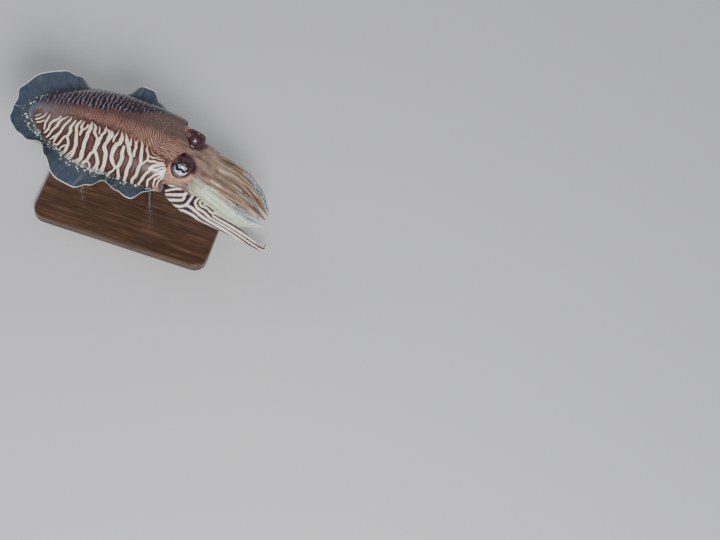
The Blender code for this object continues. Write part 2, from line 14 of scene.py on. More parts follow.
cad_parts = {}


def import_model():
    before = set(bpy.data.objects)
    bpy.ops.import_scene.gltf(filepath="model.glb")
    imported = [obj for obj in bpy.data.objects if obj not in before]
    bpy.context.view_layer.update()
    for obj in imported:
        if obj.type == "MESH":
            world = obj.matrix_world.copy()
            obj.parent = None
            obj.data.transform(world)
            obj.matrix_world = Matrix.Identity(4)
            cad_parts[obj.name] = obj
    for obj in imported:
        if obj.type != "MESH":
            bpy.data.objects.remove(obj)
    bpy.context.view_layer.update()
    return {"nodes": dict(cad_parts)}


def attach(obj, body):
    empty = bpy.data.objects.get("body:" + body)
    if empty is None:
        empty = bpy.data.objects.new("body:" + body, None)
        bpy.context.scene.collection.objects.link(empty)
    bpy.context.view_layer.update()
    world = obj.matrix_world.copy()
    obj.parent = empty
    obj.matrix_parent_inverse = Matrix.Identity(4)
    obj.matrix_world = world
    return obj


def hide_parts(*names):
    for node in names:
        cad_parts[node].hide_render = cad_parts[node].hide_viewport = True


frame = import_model()

bl_info = {
    "name": "Common cuttlefish",
    "version": (1, 0, 0),
    "blender": (4, 5, 0),
    "location": "3D View > Sidebar > Cuttlefish",
    "description": "Skin, fins, eyes, suckers and stage for a life-size common cuttlefish",
    "category": "Object",
}

# Driving dimensions, in metres
MANTLE_LENGTH = 0.220
AXIS_HEIGHT = 0.150
MANTLE_MIDDLE_Y = 0.040
TAIL_Y = MANTLE_MIDDLE_Y + MANTLE_LENGTH / 2

# Mantle
MANTLE_HALF_WIDTH = 0.278
MANTLE_CROWN = 0.190
MANTLE_BELLY = 0.150
WIDEST_AT = 0.52
TAIL_ROUNDNESS = 1.6
TAIL_BLUNTNESS = 1.7
FRONT_NARROWING = 0.10
FRONT_LOWERING = 0.20
SECTION_POWER = 2.25
SIDE_MARGIN = 0.915
LOBE_REACH = 0.085
LOBE_SPREAD = math.radians(33)
BELLY_NOTCH = 0.035
COLLAR_WALL = 0.003
COLLAR_FLOOR = 0.84
COLLAR_ROLL = 0.0012
COLLAR_GAP = 0.001
MANTLE_RINGS = 240
MANTLE_SIDES = 330

# Fins
FIN_ROOT_THICKNESS = 0.0022
FIN_EDGE_THICKNESS = 0.0007
FIN_START = 0.00012
FIN_STATIONS = 300
FIN_STRIPS = 26
FIN_SINK = 0.0012
FIN_RAY_HEIGHT = 0.0001
FIN_RAY_SPACING = 0.0017
# Each row: share of the mantle, width, and the angle in degrees at which the rippling fin stands or hangs
FIN_RIGHT = [
    (0.00, 0.095, 0),
    (0.015, 0.112, 4),
    (0.05, 0.108, 14),
    (0.10, 0.100, 30),
    (0.20, 0.105, 84),
    (0.26, 0.125, 56),
    (0.36, 0.135, -18),
    (0.44, 0.132, -22),
    (0.53, 0.122, 30),
    (0.61, 0.118, 70),
    (0.70, 0.115, 42),
    (0.79, 0.100, 0),
    (0.89, 0.060, 48),
    (0.94, 0.018, 50),
]
FIN_LEFT = [
    (0.00, 0.095, 0),
    (0.015, 0.136, 16),
    (0.08, 0.160, 33),
    (0.17, 0.155, 32),
    (0.24, 0.140, -4),
    (0.31, 0.125, -56),
    (0.48, 0.120, -66),
    (0.60, 0.118, 20),
    (0.65, 0.116, 20),
    (0.71, 0.100, -40),
    (0.80, 0.080, -60),
    (0.94, 0.018, -50),
]

# Head
HEAD_DROOP = math.radians(33)
HEAD_YAW = math.radians(5)
HEAD_LENGTH = 0.29
NECK_RISE = 0.020
# Each section: share of the head's length, half width, height above and depth below the middle
HEAD_SECTIONS = [
    (0.00, 0.222, 0.116, 0.058),
    (0.28, 0.212, 0.119, 0.062),
    (0.50, 0.182, 0.121, 0.088),
    (0.75, 0.163, 0.124, 0.114),
    (1.00, 0.160, 0.130, 0.132),
]
HEAD_RINGS = 60
HEAD_SIDES = 120
# The crown between the arms' roots: distance ahead of the head, and share of its front face
CROWN = [(0.030, 0.93), (0.060, 0.78), (0.085, 0.55)]
CROWN_RISE = 0.098

# Eyes
EYE_STATION = 0.48
EYE_SIDE = 0.103
EYE_UP = 0.095
EYEBALL = 0.062
EYEBALL_FLATNESS = 0.94
EYE_LOOK = (0.02, 0.74, 0.67)
BULGE_HEIGHT = 0.018
BULGE_SPREAD = 0.070
MOUND_RADIUS = 0.0695
EYE_OPENING = 0.050
OPENING_HEIGHT = 0.88
BROW_TILT = 0.12
MOUND_SIDES = 64
MOUND_RINGS = 40
PUPIL_WIDTH = 0.0150
PUPIL_HEIGHT = 0.0042
PUPIL_STROKE = 0.0024
PUPIL_SINK = 0.00025
LID_THICKNESS = 0.0011
LID_BROW = 0.0009
LID_CLEARANCE = 0.0006
LID_RINGS = 96
LID_SIDES = 14
EYE_SEGMENTS = 128
EYE_BANDS = 96

# The bundle of the upper arms: distance ahead of the head, half width and half height
BUNDLE = [
    (0.00, 0.126, 0.098),
    (0.10, 0.136, 0.106),
    (0.22, 0.136, 0.105),
    (0.34, 0.116, 0.090),
    (0.45, 0.076, 0.060),
    (0.56, 0.036, 0.028),
]
BUNDLE_FULLEST = 0.128
BUNDLE_SHIFT = (-0.010, 0.014)
# By number and side, 1 right and -1 left: angles round the bundle at root and tip in degrees, reach, half
# breadth, half thickness, curl of the tip, and how far the breadth follows the bundle and swells
ARMS = {
    (1, 1): (-13, -12, 0.490, 0.0355, 0.036, -0.02, 1.0, 0.0),
    (2, 1): (27, 22, 0.478, 0.0345, 0.036, -0.01, 1.0, 0.0),
    (3, 1): (73, 100, 0.500, 0.0465, 0.037, 0.05, 0.5, 0.20),
    (1, -1): (47, 45, 0.490, 0.0320, 0.035, -0.02, 1.0, 0.0),
    (2, -1): (84, 82, 0.470, 0.0310, 0.033, -0.01, 1.0, 0.0),
    (3, -1): (124, 120, 0.480, 0.0310, 0.033, -0.02, 1.0, 0.0),
}
# Each row: ahead, side, up, half breadth, half thickness
FOURTH_ARMS = {
    1: [
        (-0.130, 0.110, -0.060, 0.040, 0.032),
        (-0.080, 0.150, -0.105, 0.068, 0.038),
        (0.054, 0.149, -0.130, 0.072, 0.034),
        (0.186, 0.129, -0.145, 0.058, 0.030),
        (0.379, 0.095, -0.155, 0.042, 0.022),
        (0.551, 0.080, -0.155, 0.024, 0.014),
        (0.647, 0.067, -0.150, 0.012, 0.008),
        (0.633, 0.040, -0.125, 0.005, 0.004),
    ],
    -1: [
        (-0.130, 0.100, -0.060, 0.040, 0.032),
        (-0.080, 0.135, -0.105, 0.060, 0.036),
        (0.054, 0.098, -0.125, 0.048, 0.034),
        (0.186, 0.070, -0.125, 0.042, 0.030),
        (0.330, 0.055, -0.100, 0.030, 0.022),
        (0.440, 0.035, -0.068, 0.014, 0.012),
        (0.490, 0.022, -0.048, 0.004, 0.004),
    ],
}
FOURTH_OUTWARD = {1: (0.0, 0.60, 0.80), -1: (0.0, 0.65, -0.75)}
ARM_RINGS = 150
ARM_SIDES = 32
ARM_LEAST = 0.0008
ORAL_FLATNESS = 0.62
ARM_SECTION_POWER = 2.4
ROOT_DEPTH = 0.007
ARM_END_REACH = 0.006

# Webs of skin between the upper arms: share of the arms' length, thickness, how far the free edge is
# hollowed, and rise towards the outer side
WEB_REACH = 0.56
WEB_THICKNESS = 0.0032
WEB_HOLLOW = 0.24
WEB_RISE = 0.0022
WEB_EDGE = 0.0006
WEB_RINGS = 60
WEB_SIDES = 24

# Skin of the head and the arms: voxel size, how far the roots are blended, and passes of smoothing
SKIN_VOXEL = 0.00098
BLEND_REACH = 0.013
BLEND_PASSES = 26
SKIN_PASSES = 4

# Suckers, in four rows, as shares of the arm's half breadth
SUCKER_ROWS = (-0.66, -0.24, 0.24, 0.66)
SUCKER_RADIUS = 0.175
SUCKER_LEAST = 0.00036
SUCKER_SINK = 0.0006
SUCKER_SPACING = 2.15
FIRST_SUCKER = 0.012

# Funnel: ahead, drop, half width, half height
FUNNEL = [
    (0.000, 0.072, 0.064, 0.021),
    (0.060, 0.083, 0.058, 0.025),
    (0.110, 0.112, 0.046, 0.028),
    (0.150, 0.142, 0.034, 0.024),
]
FUNNEL_RINGS = 28
FUNNEL_SIDES = 64
FUNNEL_WALL = 0.0018
FUNNEL_BORE = 0.40

# The camera, fitted to the photograph: its turn and rise, and the pixel at which the model's aim point lies
PHOTO_WIDTH = 720
PHOTO_HEIGHT = 540
CAMERA_TURN = math.radians(21)
CAMERA_RISE = math.radians(57)
CAMERA_DISTANCE = 2.0
CAMERA_AIM = (0, 0.040, 0.150)
AIM_PIXEL = (108, 135)
PIXELS_PER_METRE = 745
SENSOR = 36

# Light: place, size in metres and power in watts
LIGHTS = {
    "key": ((-1.5, -0.7, 1.7), 0.7, 50),
    "fill": ((1.6, -0.6, 1.2), 1.6, 5),
    "back": ((0.3, 1.7, 1.4), 1.2, 9),
}
LIGHT_AIM = (0, 0, 0.12)
SKY_COLOUR = (0.92, 0.95, 1.0, 1)
SKY_STRENGTH = 0.30
FLOOR_SIZE = 12
FLOOR_DROP = 0.0004

SEED = 7


def srgb(red, green, blue):
    """A colour in linear light from its three values of 0 to 255."""
    shares = [value / 255 for value in (red, green, blue)]
    return tuple(c / 12.92 if c <= 0.04045 else ((c + 0.055) / 1.055) ** 2.4 for c in shares)


# Second tints, which the finishes mix with the colours that a user sets
CELL_BROWN = (0.30, 0.20, 0.16)
FIN_PALE = srgb(72, 80, 98)
FIN_GREEN = srgb(62, 78, 86)
SUCKER_PALE = srgb(238, 230, 216)
IRIS_PALE = srgb(236, 240, 246)
# Painted shade: the darker blue grey of the eyeball's top, where the brow overhangs it
IRIS_BROW_SHADE = srgb(120, 128, 160)
IRIS_EDGE = srgb(92, 80, 104)
WOOD_PALE = srgb(104, 74, 54)
WOOD_DARK = srgb(46, 30, 22)
STEEL_PALE = srgb(206, 208, 210)
FLOOR_PALE = srgb(212, 212, 213)


def colour(label, note, value):
    return bpy.props.FloatVectorProperty(
        name=label, description=note, subtype="COLOR", size=3, min=0, max=1, default=value
    )


def length(label, note, value):
    return bpy.props.FloatProperty(
        name=label, description=note, subtype="DISTANCE", unit="LENGTH", precision=5, min=0, default=value
    )


def share(label, note, value):
    return bpy.props.FloatProperty(
        name=label, description=note, subtype="FACTOR", min=0, max=1, default=value
    )


class CuttlefishSizes(bpy.types.PropertyGroup):
    """Sizes of the markings and of the skin's relief."""

    far_spacing: length("Far spacing", "From one pale line to the next on the far flank", 0.0058)
    fine_spacing: length("Fine spacing", "From one fine line to the next on the back's front", 0.0027)
    arm_band: length("Arm band", "From one pale line to the next on the fourth arm", 0.0055)
    pearl_spacing: length("Pearl spacing", "Between the white dots along the fins' roots", 0.0054)
    speckle: length("Speckle", "Size of the colour cells in the skin", 0.0011)
    relief: length("Relief", "Depth of the skin's fine bumps", 0.00045)
    wetness: share("Wetness", "Strength of the wet sheen", 0.35)


class CuttlefishColours(bpy.types.PropertyGroup):
    """Colours of the animal and of its stand."""

    cream: colour("Cream", "Pale stripes of flank, cheeks and fourth arms", srgb(244, 234, 220))
    maroon: colour("Maroon", "Dark stripes on the flank", srgb(62, 36, 34))
    clay: colour("Clay", "Middle of the broad dark stripes", srgb(94, 66, 62))
    rim: colour("Rim", "Warm edge between the stripes", srgb(142, 92, 66))
    tan: colour("Tan", "Fine pale lines on the back's front", srgb(186, 152, 130))
    umber: colour("Umber", "Fine dark lines on the back's front", srgb(88, 54, 48))
    mauve: colour("Mauve", "Pale lines on the far flank", srgb(128, 112, 128))
    # The far flank's dark ground is partly its own colour and partly painted shade
    plum_and_far_shade: colour("Plum", "Dark ground of the far flank", srgb(32, 20, 28))
    midline: colour("Midline", "Soft band along the back", srgb(122, 82, 76))
    dusk: colour("Dusk", "Soft band near the tail", srgb(92, 78, 92))
    tail: colour("Tail", "Blue grey of the tail's tip", srgb(106, 116, 138))
    teal: colour("Teal", "Ground of the dots along the fins' roots", srgb(96, 112, 112))
    rust: colour("Rust", "Spot at the corner of the mantle's opening", srgb(190, 112, 92))
    belly: colour("Belly", "Underside", srgb(196, 190, 176))
    pearl: colour("Pearl", "White dots", srgb(236, 248, 242))
    fin: colour("Fin", "Fins' blue grey", srgb(56, 63, 80))
    fin_root: colour("Fin root", "Fins near the body", srgb(72, 80, 84))
    fin_edge: colour("Fin edge", "White line along the fins' edges", srgb(226, 234, 244))
    olive: colour("Olive", "Head and upper arms", srgb(150, 126, 104))
    bark: colour("Bark", "Dark streaks of head and upper arms", srgb(96, 68, 58))
    taupe: colour("Taupe", "Clouds on the head", srgb(138, 112, 108))
    straw: colour("Straw", "Pale streaks of the upper arms", srgb(208, 204, 170))
    mint: colour("Mint", "The third arms' pale green cream", srgb(222, 236, 210))
    sage: colour("Sage", "Shaded streaks of the third arms", srgb(178, 188, 152))
    blush: colour("Blush", "The third arms' edges", srgb(158, 126, 114))
    silver: colour("Silver", "Blue crests of the arms", srgb(160, 186, 216))
    ink: colour("Ink", "Dark lines of the fourth arms", srgb(44, 32, 46))
    brow: colour("Brow", "Skin over the eye", srgb(54, 24, 32))
    peach: colour("Peach", "Skin behind and below the eye", srgb(206, 140, 112))
    apricot: colour("Apricot", "Pale flecks behind and below the eye", srgb(226, 184, 148))
    iris: colour("Iris", "Silver of the eye", srgb(128, 138, 172))
    pupil: colour("Pupil", "The W-shaped pupil", srgb(6, 6, 10))
    sucker: colour("Sucker", "Suckers and the arms' inner sides", srgb(206, 196, 182))
    wood: colour("Wood", "Stand's base", srgb(70, 48, 36))
    steel: colour("Steel", "Stand's rods", srgb(176, 178, 182))
    floor: colour("Floor", "Floor of the stage", srgb(205, 206, 208))


def sizes():
    return bpy.context.scene.cuttlefish_sizes


def colours():
    return bpy.context.scene.cuttlefish_colours


# Shape formulas, the same as those of the solids


def part_of(value):
    """A length given as a share of the mantle's."""
    return value * MANTLE_LENGTH


def world(ahead, side, up):
    """Places measured from the tail's tip: ahead to the head, side to the animal's right."""
    ahead, side, up = np.broadcast_arrays(ahead, side, up)
    return np.stack([-side, TAIL_Y - ahead, AXIS_HEIGHT + up], axis=-1)


def smooth_table(table, x):
    """The table's columns at x, eased between its rows."""
    for low, high in zip(table, table[1:]):
        if x <= high[0]:
            t = min(max((x - low[0]) / (high[0] - low[0]), 0.0), 1.0)
            ease = (1 - math.cos(math.pi * t)) / 2
            return [a + (b - a) * ease for a, b in zip(low[1:], high[1:])]
    return list(table[-1][1:])


def through(points, count):
    """Rows evenly spread on a smooth curve that passes through the points' first three columns."""
    p = np.array(points, float)
    p = np.vstack([2 * p[0] - p[1], p, 2 * p[-1] - p[-2]])
    fine = []
    for a, b, c, d in zip(p[:-3], p[1:-2], p[2:-1], p[3:]):
        t = np.linspace(0, 1, 24, endpoint=False)[:, None]
        bend = (2 * a - 5 * b + 4 * c - d) * t**2 + (3 * b - a - 3 * c + d) * t**3
        fine.append(0.5 * (2 * b + (c - a) * t + bend))
    fine = np.vstack(fine + [p[-2:-1]])
    run = run_of(fine[:, :3])
    at = np.linspace(0, run[-1], count)
    return np.stack([np.interp(at, run, fine[:, k]) for k in range(fine.shape[1])], axis=1)


def run_of(points):
    """Distance along a line of points, from its start to each of them."""
    return np.concatenate([[0], np.cumsum(np.linalg.norm(np.diff(points, axis=0), axis=1))])


def unit(vector):
    return vector / np.linalg.norm(vector, axis=-1, keepdims=True)


def smoothstep(low, high, value):
    t = np.clip((value - low) / (high - low), 0, 1)
    return t * t * (3 - 2 * t)


def wander(places, size, seed):
    """A smooth random value from about -1 to 1 that changes over this size."""
    rng = np.random.default_rng(seed)
    total = 0
    for _ in range(9):
        turn = unit(rng.normal(size=places.shape[-1]))
        pace = 2 * math.pi / size * rng.uniform(0.5, 1.3)
        total = total + np.sin(places @ turn * pace + rng.uniform(0, 2 * math.pi))
    return total / 3.2


def oval(angle, half_width, above, below, power=SECTION_POWER):
    """Side and up of a rounded section's outline at these angles, where 90 degrees is straight up."""
    sine, cosine = np.sin(angle), np.cos(angle)
    height = np.where(sine >= 0, above, below)
    reach = (np.abs(cosine) / half_width) ** power + (np.abs(sine) / height) ** power
    reach = reach ** (-1 / power)
    return reach * cosine, reach * sine


def ring_angles(sides):
    return np.arange(sides) * 2 * math.pi / sides


def mantle_shares(u):
    """How wide and how high the mantle is at u, from 0 at the tail's tip to 1 at its front."""
    tail = (1 - np.clip(1 - u / WIDEST_AT, 0, 1) ** TAIL_ROUNDNESS) ** (1 / TAIL_BLUNTNESS)
    past = np.clip((u - WIDEST_AT) / (1 - WIDEST_AT), 0, 1) ** 2
    wide = np.where(u < WIDEST_AT, tail, 1 - FRONT_NARROWING * past)
    high = np.where(u < WIDEST_AT, tail, 1 - FRONT_LOWERING * past)
    return np.maximum(wide, 1e-4), np.maximum(high, 1e-4)


def margin_share(angle):
    """Where the free front edge lies: a lobe reaches over the neck, and the belly's edge is set back."""
    turned = (angle - math.pi / 2 + math.pi) % (2 * math.pi) - math.pi
    lobe = LOBE_REACH * np.exp(-((turned / LOBE_SPREAD) ** 2))
    notch = BELLY_NOTCH * np.maximum(0.0, -np.sin(angle)) ** 2
    return SIDE_MARGIN + lobe - notch


def mantle_point(u, angle, out=0.0):
    """Points of the mantle's skin, or of a skin set out by some distance."""
    wide, high = mantle_shares(u)
    side, up = oval(
        angle,
        part_of(MANTLE_HALF_WIDTH) * wide + out,
        part_of(MANTLE_CROWN) * high + out,
        part_of(MANTLE_BELLY) * high + out,
    )
    ahead = MANTLE_LENGTH * u * (1 - (1 - margin_share(angle)) * u**4)
    return world(ahead, side, up)


def head_frame(v):
    """Centre and the forward, right and upward directions at this share of the head's length."""
    ahead, side, up = MANTLE_LENGTH * COLLAR_FLOOR, 0.0, part_of(NECK_RISE)
    steps = 24
    for k in range(steps):
        t = (k + 0.5) / steps * v
        droop, yaw = HEAD_DROOP * t, HEAD_YAW * t
        step = part_of(HEAD_LENGTH) * v / steps
        ahead += math.cos(droop) * math.cos(yaw) * step
        side += math.cos(droop) * math.sin(yaw) * step
        up -= math.sin(droop) * step
    droop, yaw = HEAD_DROOP * v, HEAD_YAW * v
    level = np.array((-math.sin(yaw), -math.cos(yaw), 0))
    forward = level * math.cos(droop) + np.array((0, 0, -math.sin(droop)))
    right = np.array((-math.cos(yaw), math.sin(yaw), 0))
    return world(ahead, side, up), forward, right, np.cross(right, forward)


def eye_look(hand):
    """The direction in which an eye looks out."""
    _, forward, right, upward = head_frame(EYE_STATION)
    ahead, side, up = EYE_LOOK
    return unit(forward * ahead + right * side * hand + upward * up)


def eye_centre(hand):
    centre, _, right, upward = head_frame(EYE_STATION)
    return centre + right * part_of(EYE_SIDE) * hand + upward * part_of(EYE_UP)


def eye_axes(hand):
    """The directions out of, across and up the eye."""
    look = eye_look(hand)
    _, forward, _, _ = head_frame(EYE_STATION)
    across = unit(forward - look * forward.dot(look))
    return look, across, np.cross(look, across) * hand


def lid_axes(hand):
    """The eye's axes, turned down a little so that the brow reaches further over the eyeball."""
    look, across, rise = eye_axes(hand)
    facing = unit(look - rise * BROW_TILT)
    return facing, across, np.cross(facing, across) * hand


def eye_bulge(places, hand):
    """How far the skin rises round an eye at these places of the head."""
    seat = eye_centre(hand) + eye_look(hand) * part_of(EYEBALL) * 0.6
    near = np.linalg.norm(places - seat, axis=-1) / part_of(BULGE_SPREAD)
    return eye_look(hand) * (part_of(BULGE_HEIGHT) * np.exp(-(near**2)))[..., None]


def bundle_place(ahead, side, up):
    """A place in the arm bundle's frame, which starts at the head's front face."""
    centre, forward, right, upward = head_frame(1.0)
    return centre + forward * part_of(ahead) + right * part_of(side) + upward * part_of(up)


def arm_angle(number, hand, t):
    """Where the arm lies round the ring, at this share of its length."""
    start, end = ARMS[number, hand][:2]
    return math.radians(start + (end - start) * t**2)


def arm_line(number, hand):
    """The arm's spine, with its half breadth and half thickness beside each place."""
    if number == 4:
        rows = [(*bundle_place(a, s * hand, u), b, d) for a, s, u, b, d in FOURTH_ARMS[hand]]
        return through(rows, 121)
    _, _, reach, breadth, depth, curl, narrowing, swell = ARMS[number, hand]
    rows = []
    for k in range(11):
        t = k / 10
        wide, high = smooth_table(BUNDLE, reach * t)
        angle = arm_angle(number, hand, t)
        shift = min(1, 3 * t)
        place = bundle_place(
            reach * t,
            wide * math.sin(angle) * hand + BUNDLE_SHIFT[0] * shift,
            high * math.cos(angle) + BUNDLE_SHIFT[1] * shift + curl * max(0.0, (t - 0.7) / 0.3) ** 2,
        )
        taper = (wide / BUNDLE_FULLEST) ** narrowing * (1 - t**5) ** 0.7
        taper *= 1 + swell * math.sin(math.pi * t)
        rows.append((*place, max(breadth * taper, 0.003), max(depth * taper, 0.003)))
    return through(rows, 101)


def arm_outward(number, hand):
    """The direction of the arm's outer side, away from the mouth."""
    _, forward, right, upward = head_frame(1.0)
    if number == 4:
        ahead, side, up = FOURTH_OUTWARD[hand]
        return unit(forward * ahead + right * side * hand + upward * up)
    angle = arm_angle(number, hand, 0.5)
    return right * math.sin(angle) * hand + upward * math.cos(angle)


class Arm:
    """One arm's spine and its sections, as arrays of rows."""

    def __init__(self, number, hand):
        self.number = number
        self.hand = hand
        rows = arm_line(number, hand)
        self.place = rows[:, :3]
        self.breadth = np.maximum(part_of(rows[:, 3]), ARM_LEAST)
        self.depth = np.maximum(part_of(rows[:, 4]), ARM_LEAST)
        self.run = run_of(self.place)
        self.length = self.run[-1]
        self.along = unit(np.gradient(self.place, axis=0))
        facing = arm_outward(number, hand)
        self.outward = unit(facing - self.along * (self.along @ facing)[:, None])
        self.across = np.cross(self.along, self.outward)

    def at(self, distance, values):
        """One of the arm's arrays, read at distances along it."""
        if values.ndim == 1:
            return np.interp(distance, self.run, values)
        return np.stack([np.interp(distance, self.run, values[:, k]) for k in range(3)], axis=-1)

    def rings(self, count, sides):
        """Rings of skin from root to tip, the first one sunk in the head."""
        distance = np.linspace(0, self.length, count)
        side, up = oval(
            ring_angles(sides)[None, :],
            self.at(distance, self.breadth)[:, None],
            self.at(distance, self.depth)[:, None],
            self.at(distance, self.depth)[:, None] * ORAL_FLATNESS,
            ARM_SECTION_POWER,
        )
        across = self.at(distance, self.across)[:, None, :]
        outward = self.at(distance, self.outward)[:, None, :]
        rings = self.at(distance, self.place)[:, None, :] + across * side[..., None] + outward * up[..., None]
        if self.number == 4:
            return rings
        _, forward, _, _ = head_frame(1.0)
        sunk = rings[0].mean(axis=0) + (rings[0] - rings[0].mean(axis=0)) * 0.8 - forward * ROOT_DEPTH
        return np.concatenate([sunk[None], rings])


ALL_ARMS = [Arm(number, hand) for number in (1, 2, 3, 4) for hand in (1, -1)]
ARM_NODES = [
    f"arm_{arm.number}_{'right' if arm.hand > 0 else 'left'}_{half}"
    for arm in ALL_ARMS
    for half in ("root", "tip")
]


# Meshes from rings of points


def grid_faces(rows, sides):
    """Quads between rings of equal counts."""
    k = np.arange(rows - 1)[:, None] * sides
    j = np.arange(sides)[None, :]
    n = (j + 1) % sides
    quads = np.stack([k + j, k + n, k + sides + n, k + sides + j], axis=-1)
    return quads.reshape(-1, 4).tolist()


def shell(rings, start=None, end=None):
    """Points and faces of a closed skin through rings, each end closed by a pole or by its ring's middle."""
    rows, sides = rings.shape[:2]
    points = rings.reshape(-1, 3)
    faces = grid_faces(rows, sides)
    for row, pole in ((0, start), (rows - 1, end)):
        pole = rings[row].mean(axis=0) if pole is None else pole
        points = np.vstack([points, pole])
        tip = len(points) - 1
        ring = [row * sides + k for k in range(sides)]
        for k in range(sides):
            pair = (ring[(k + 1) % sides], ring[k]) if row == 0 else (ring[k], ring[(k + 1) % sides])
            faces.append((*pair, tip))
    return points, faces


def face_outwards(data):
    mesh = bmesh.new()
    mesh.from_mesh(data)
    bmesh.ops.recalc_face_normals(mesh, faces=mesh.faces)
    mesh.to_mesh(data)
    mesh.free()


def new_object(name, points, faces):
    """A smooth-shaded mesh object, its faces turned outwards."""
    data = bpy.data.meshes.new(name)
    data.from_pydata(np.asarray(points).tolist(), [], faces)
    face_outwards(data)
    data.shade_smooth()
    obj = bpy.data.objects.new(name, data)
    bpy.context.scene.collection.objects.link(obj)
    return obj


def select_none():
    bpy.ops.object.select_all(action="DESELECT")


def only(obj):
    """Selects this object alone and makes it active."""
    select_none()
    obj.select_set(True)
    bpy.context.view_layer.objects.active = obj


def apply(obj, kind, **settings):
    """Adds a modifier and applies it."""
    only(obj)
    modifier = obj.modifiers.new(kind.lower(), kind)
    for name, value in settings.items():
        setattr(modifier, name, value)
    bpy.ops.object.modifier_apply(modifier=modifier.name)


def points_of(obj):
    values = np.empty(len(obj.data.vertices) * 3, np.float32)
    obj.data.vertices.foreach_get("co", values)
    return values.reshape(-1, 3).astype(float)


def set_points(obj, points):
    obj.data.vertices.foreach_set("co", np.asarray(points, np.float32).ravel())
    obj.data.update()


def store(obj, name, *values):
    """Keeps a number, or a vector's three parts, for each vertex, which the finish reads by its name."""
    kind, key = ("FLOAT", "value") if len(values) == 1 else ("FLOAT_VECTOR", "vector")
    rows = np.stack(values, axis=-1).astype(np.float32)
    obj.data.attributes.new(name, kind, "POINT").data.foreach_set(key, rows.ravel())


def relax(points, edges, weight, passes):
    """Evens out the points towards their neighbours, more where the weight is higher, without shrinking."""
    a, b = edges[:, 0], edges[:, 1]
    count = np.bincount(a, minlength=len(points)) + np.bincount(b, minlength=len(points))
    for _ in range(passes):
        for step in (0.55, -0.57):
            near = np.stack([
                np.bincount(a, points[b, k], len(points)) + np.bincount(b, points[a, k], len(points))
                for k in range(3)
            ], axis=1) / np.maximum(count, 1)[:, None]
            points = points + (near - points) * (weight * step)[:, None]
    return points


# Finishes


class Finish:
    """A finish in the making. Each call adds a node and returns its output."""

    def __init__(self, name, **settings):
        self.material = bpy.data.materials.new(name)
        self.material.use_nodes = True
        self.tree = self.material.node_tree
        self.shader = self.tree.nodes["Principled BSDF"]
        for key, value in settings.items():
            self.shader.inputs[key.replace("_", " ")].default_value = value

    def node(self, kind, inputs=(), output=0, **settings):
        made = self.tree.nodes.new(kind)
        for key, value in settings.items():
            setattr(made, key, value)
        for key, value in dict(inputs).items():
            if isinstance(value, bpy.types.NodeSocket):
                self.tree.links.new(value, made.inputs[key])
            else:
                made.inputs[key].default_value = value
        return made.outputs[output]

    def sum(self, operation, a, b=0.0):
        return self.node("ShaderNodeMath", {0: a, 1: b}, operation=operation)

    def times(self, a, b):
        return self.sum("MULTIPLY", a, b)

    def add(self, a, b):
        return self.sum("ADD", a, b)

    def less(self, a, b):
        return self.sum("SUBTRACT", a, b)

    def distance(self, a, b):
        return self.sum("SQRT", self.add(self.times(a, a), self.times(b, b)))

    def band(self, value, low, high):
        """Eases from 0 at low to 1 at high."""
        inputs = {"Value": value, "From Min": low, "From Max": high}
        return self.node("ShaderNodeMapRange", inputs, interpolation_type="SMOOTHSTEP")

    def mix(self, factor, a, b, blend="MIX"):
        a, b = [v if isinstance(v, bpy.types.NodeSocket) else (*v, 1) for v in (a, b)]
        inputs = {0: factor, 6: a, 7: b}
        return self.node("ShaderNodeMix", inputs, 2, data_type="RGBA", blend_type=blend)

    def number(self, name):
        return self.node("ShaderNodeAttribute", output=2, attribute_name=name)

    def vector(self, name):
        """The three parts of a stored vector, and the vector."""
        whole = self.node("ShaderNodeAttribute", output=1, attribute_name=name)
        split = self.node("ShaderNodeSeparateXYZ", {0: whole}).node
        return split.outputs[0], split.outputs[1], split.outputs[2], whole

    def here(self):
        return self.node("ShaderNodeTexCoord", output=3)

    def noise(self, place, size, detail=2.0, roughness=0.5):
        inputs = {"Vector": place, "Scale": 1 / size, "Detail": detail, "Roughness": roughness}
        return self.node("ShaderNodeTexNoise", inputs)

    def cells(self, place, size, feature="F1", jitter=1.0):
        inputs = {"Vector": place, "Scale": 1 / size, "Randomness": jitter}
        return self.node("ShaderNodeTexVoronoi", inputs, feature=feature)

    def stretch(self, place, factors):
        return self.node("ShaderNodeVectorMath", {0: place, 1: factors}, operation="MULTIPLY")

    def bump(self, height, depth, strength=1.0):
        normal = self.node("ShaderNodeBump", {"Height": height, "Distance": depth, "Strength": strength})
        self.tree.links.new(normal, self.shader.inputs["Normal"])

    def paint(self, socket, value):
        self.tree.links.new(value, self.shader.inputs[socket])

    def dress(self, obj):
        obj.data.materials.clear()
        obj.data.materials.append(self.material)


def skin_finish(name, roughness=0.36):
    """A wet skin, before its colour."""
    return Finish(
        name,
        Roughness=roughness,
        Subsurface_Weight=0.08,
        Subsurface_Radius=(0.004, 0.0018, 0.0012),
        Subsurface_Scale=0.6,
        Coat_Weight=sizes().wetness,
        Coat_Roughness=0.16,
        IOR=1.38,
    )


def colour_cells(paint, base, place):
    """Lets the skin's colour cells show as fine darker and paler speckle."""
    size = sizes().speckle
    dots = paint.cells(place, size)
    dark = paint.band(dots, 0.42, 0.12)
    base = paint.mix(paint.times(dark, 0.30), base, CELL_BROWN, "MULTIPLY")
    soft = paint.noise(place, size * 9, 3.0)
    spread = {"Value": soft, "From Min": 0.25, "From Max": 0.75, "To Min": 0.80, "To Max": 1.18}
    shade = paint.node("ShaderNodeMapRange", spread)
    tone = paint.node("ShaderNodeCombineXYZ", {0: shade, 1: shade, 2: shade})
    return paint.mix(1.0, base, tone, "MULTIPLY")


def skin_bump(paint, place):
    """Fine wrinkles and grains of skin."""
    grains = paint.cells(place, sizes().speckle * 1.6, "SMOOTH_F1")
    folds = paint.noise(place, 0.006, 4.0, 0.6)
    paint.bump(paint.add(paint.times(grains, 0.35), folds), sizes().relief, 0.6)


# Mantle

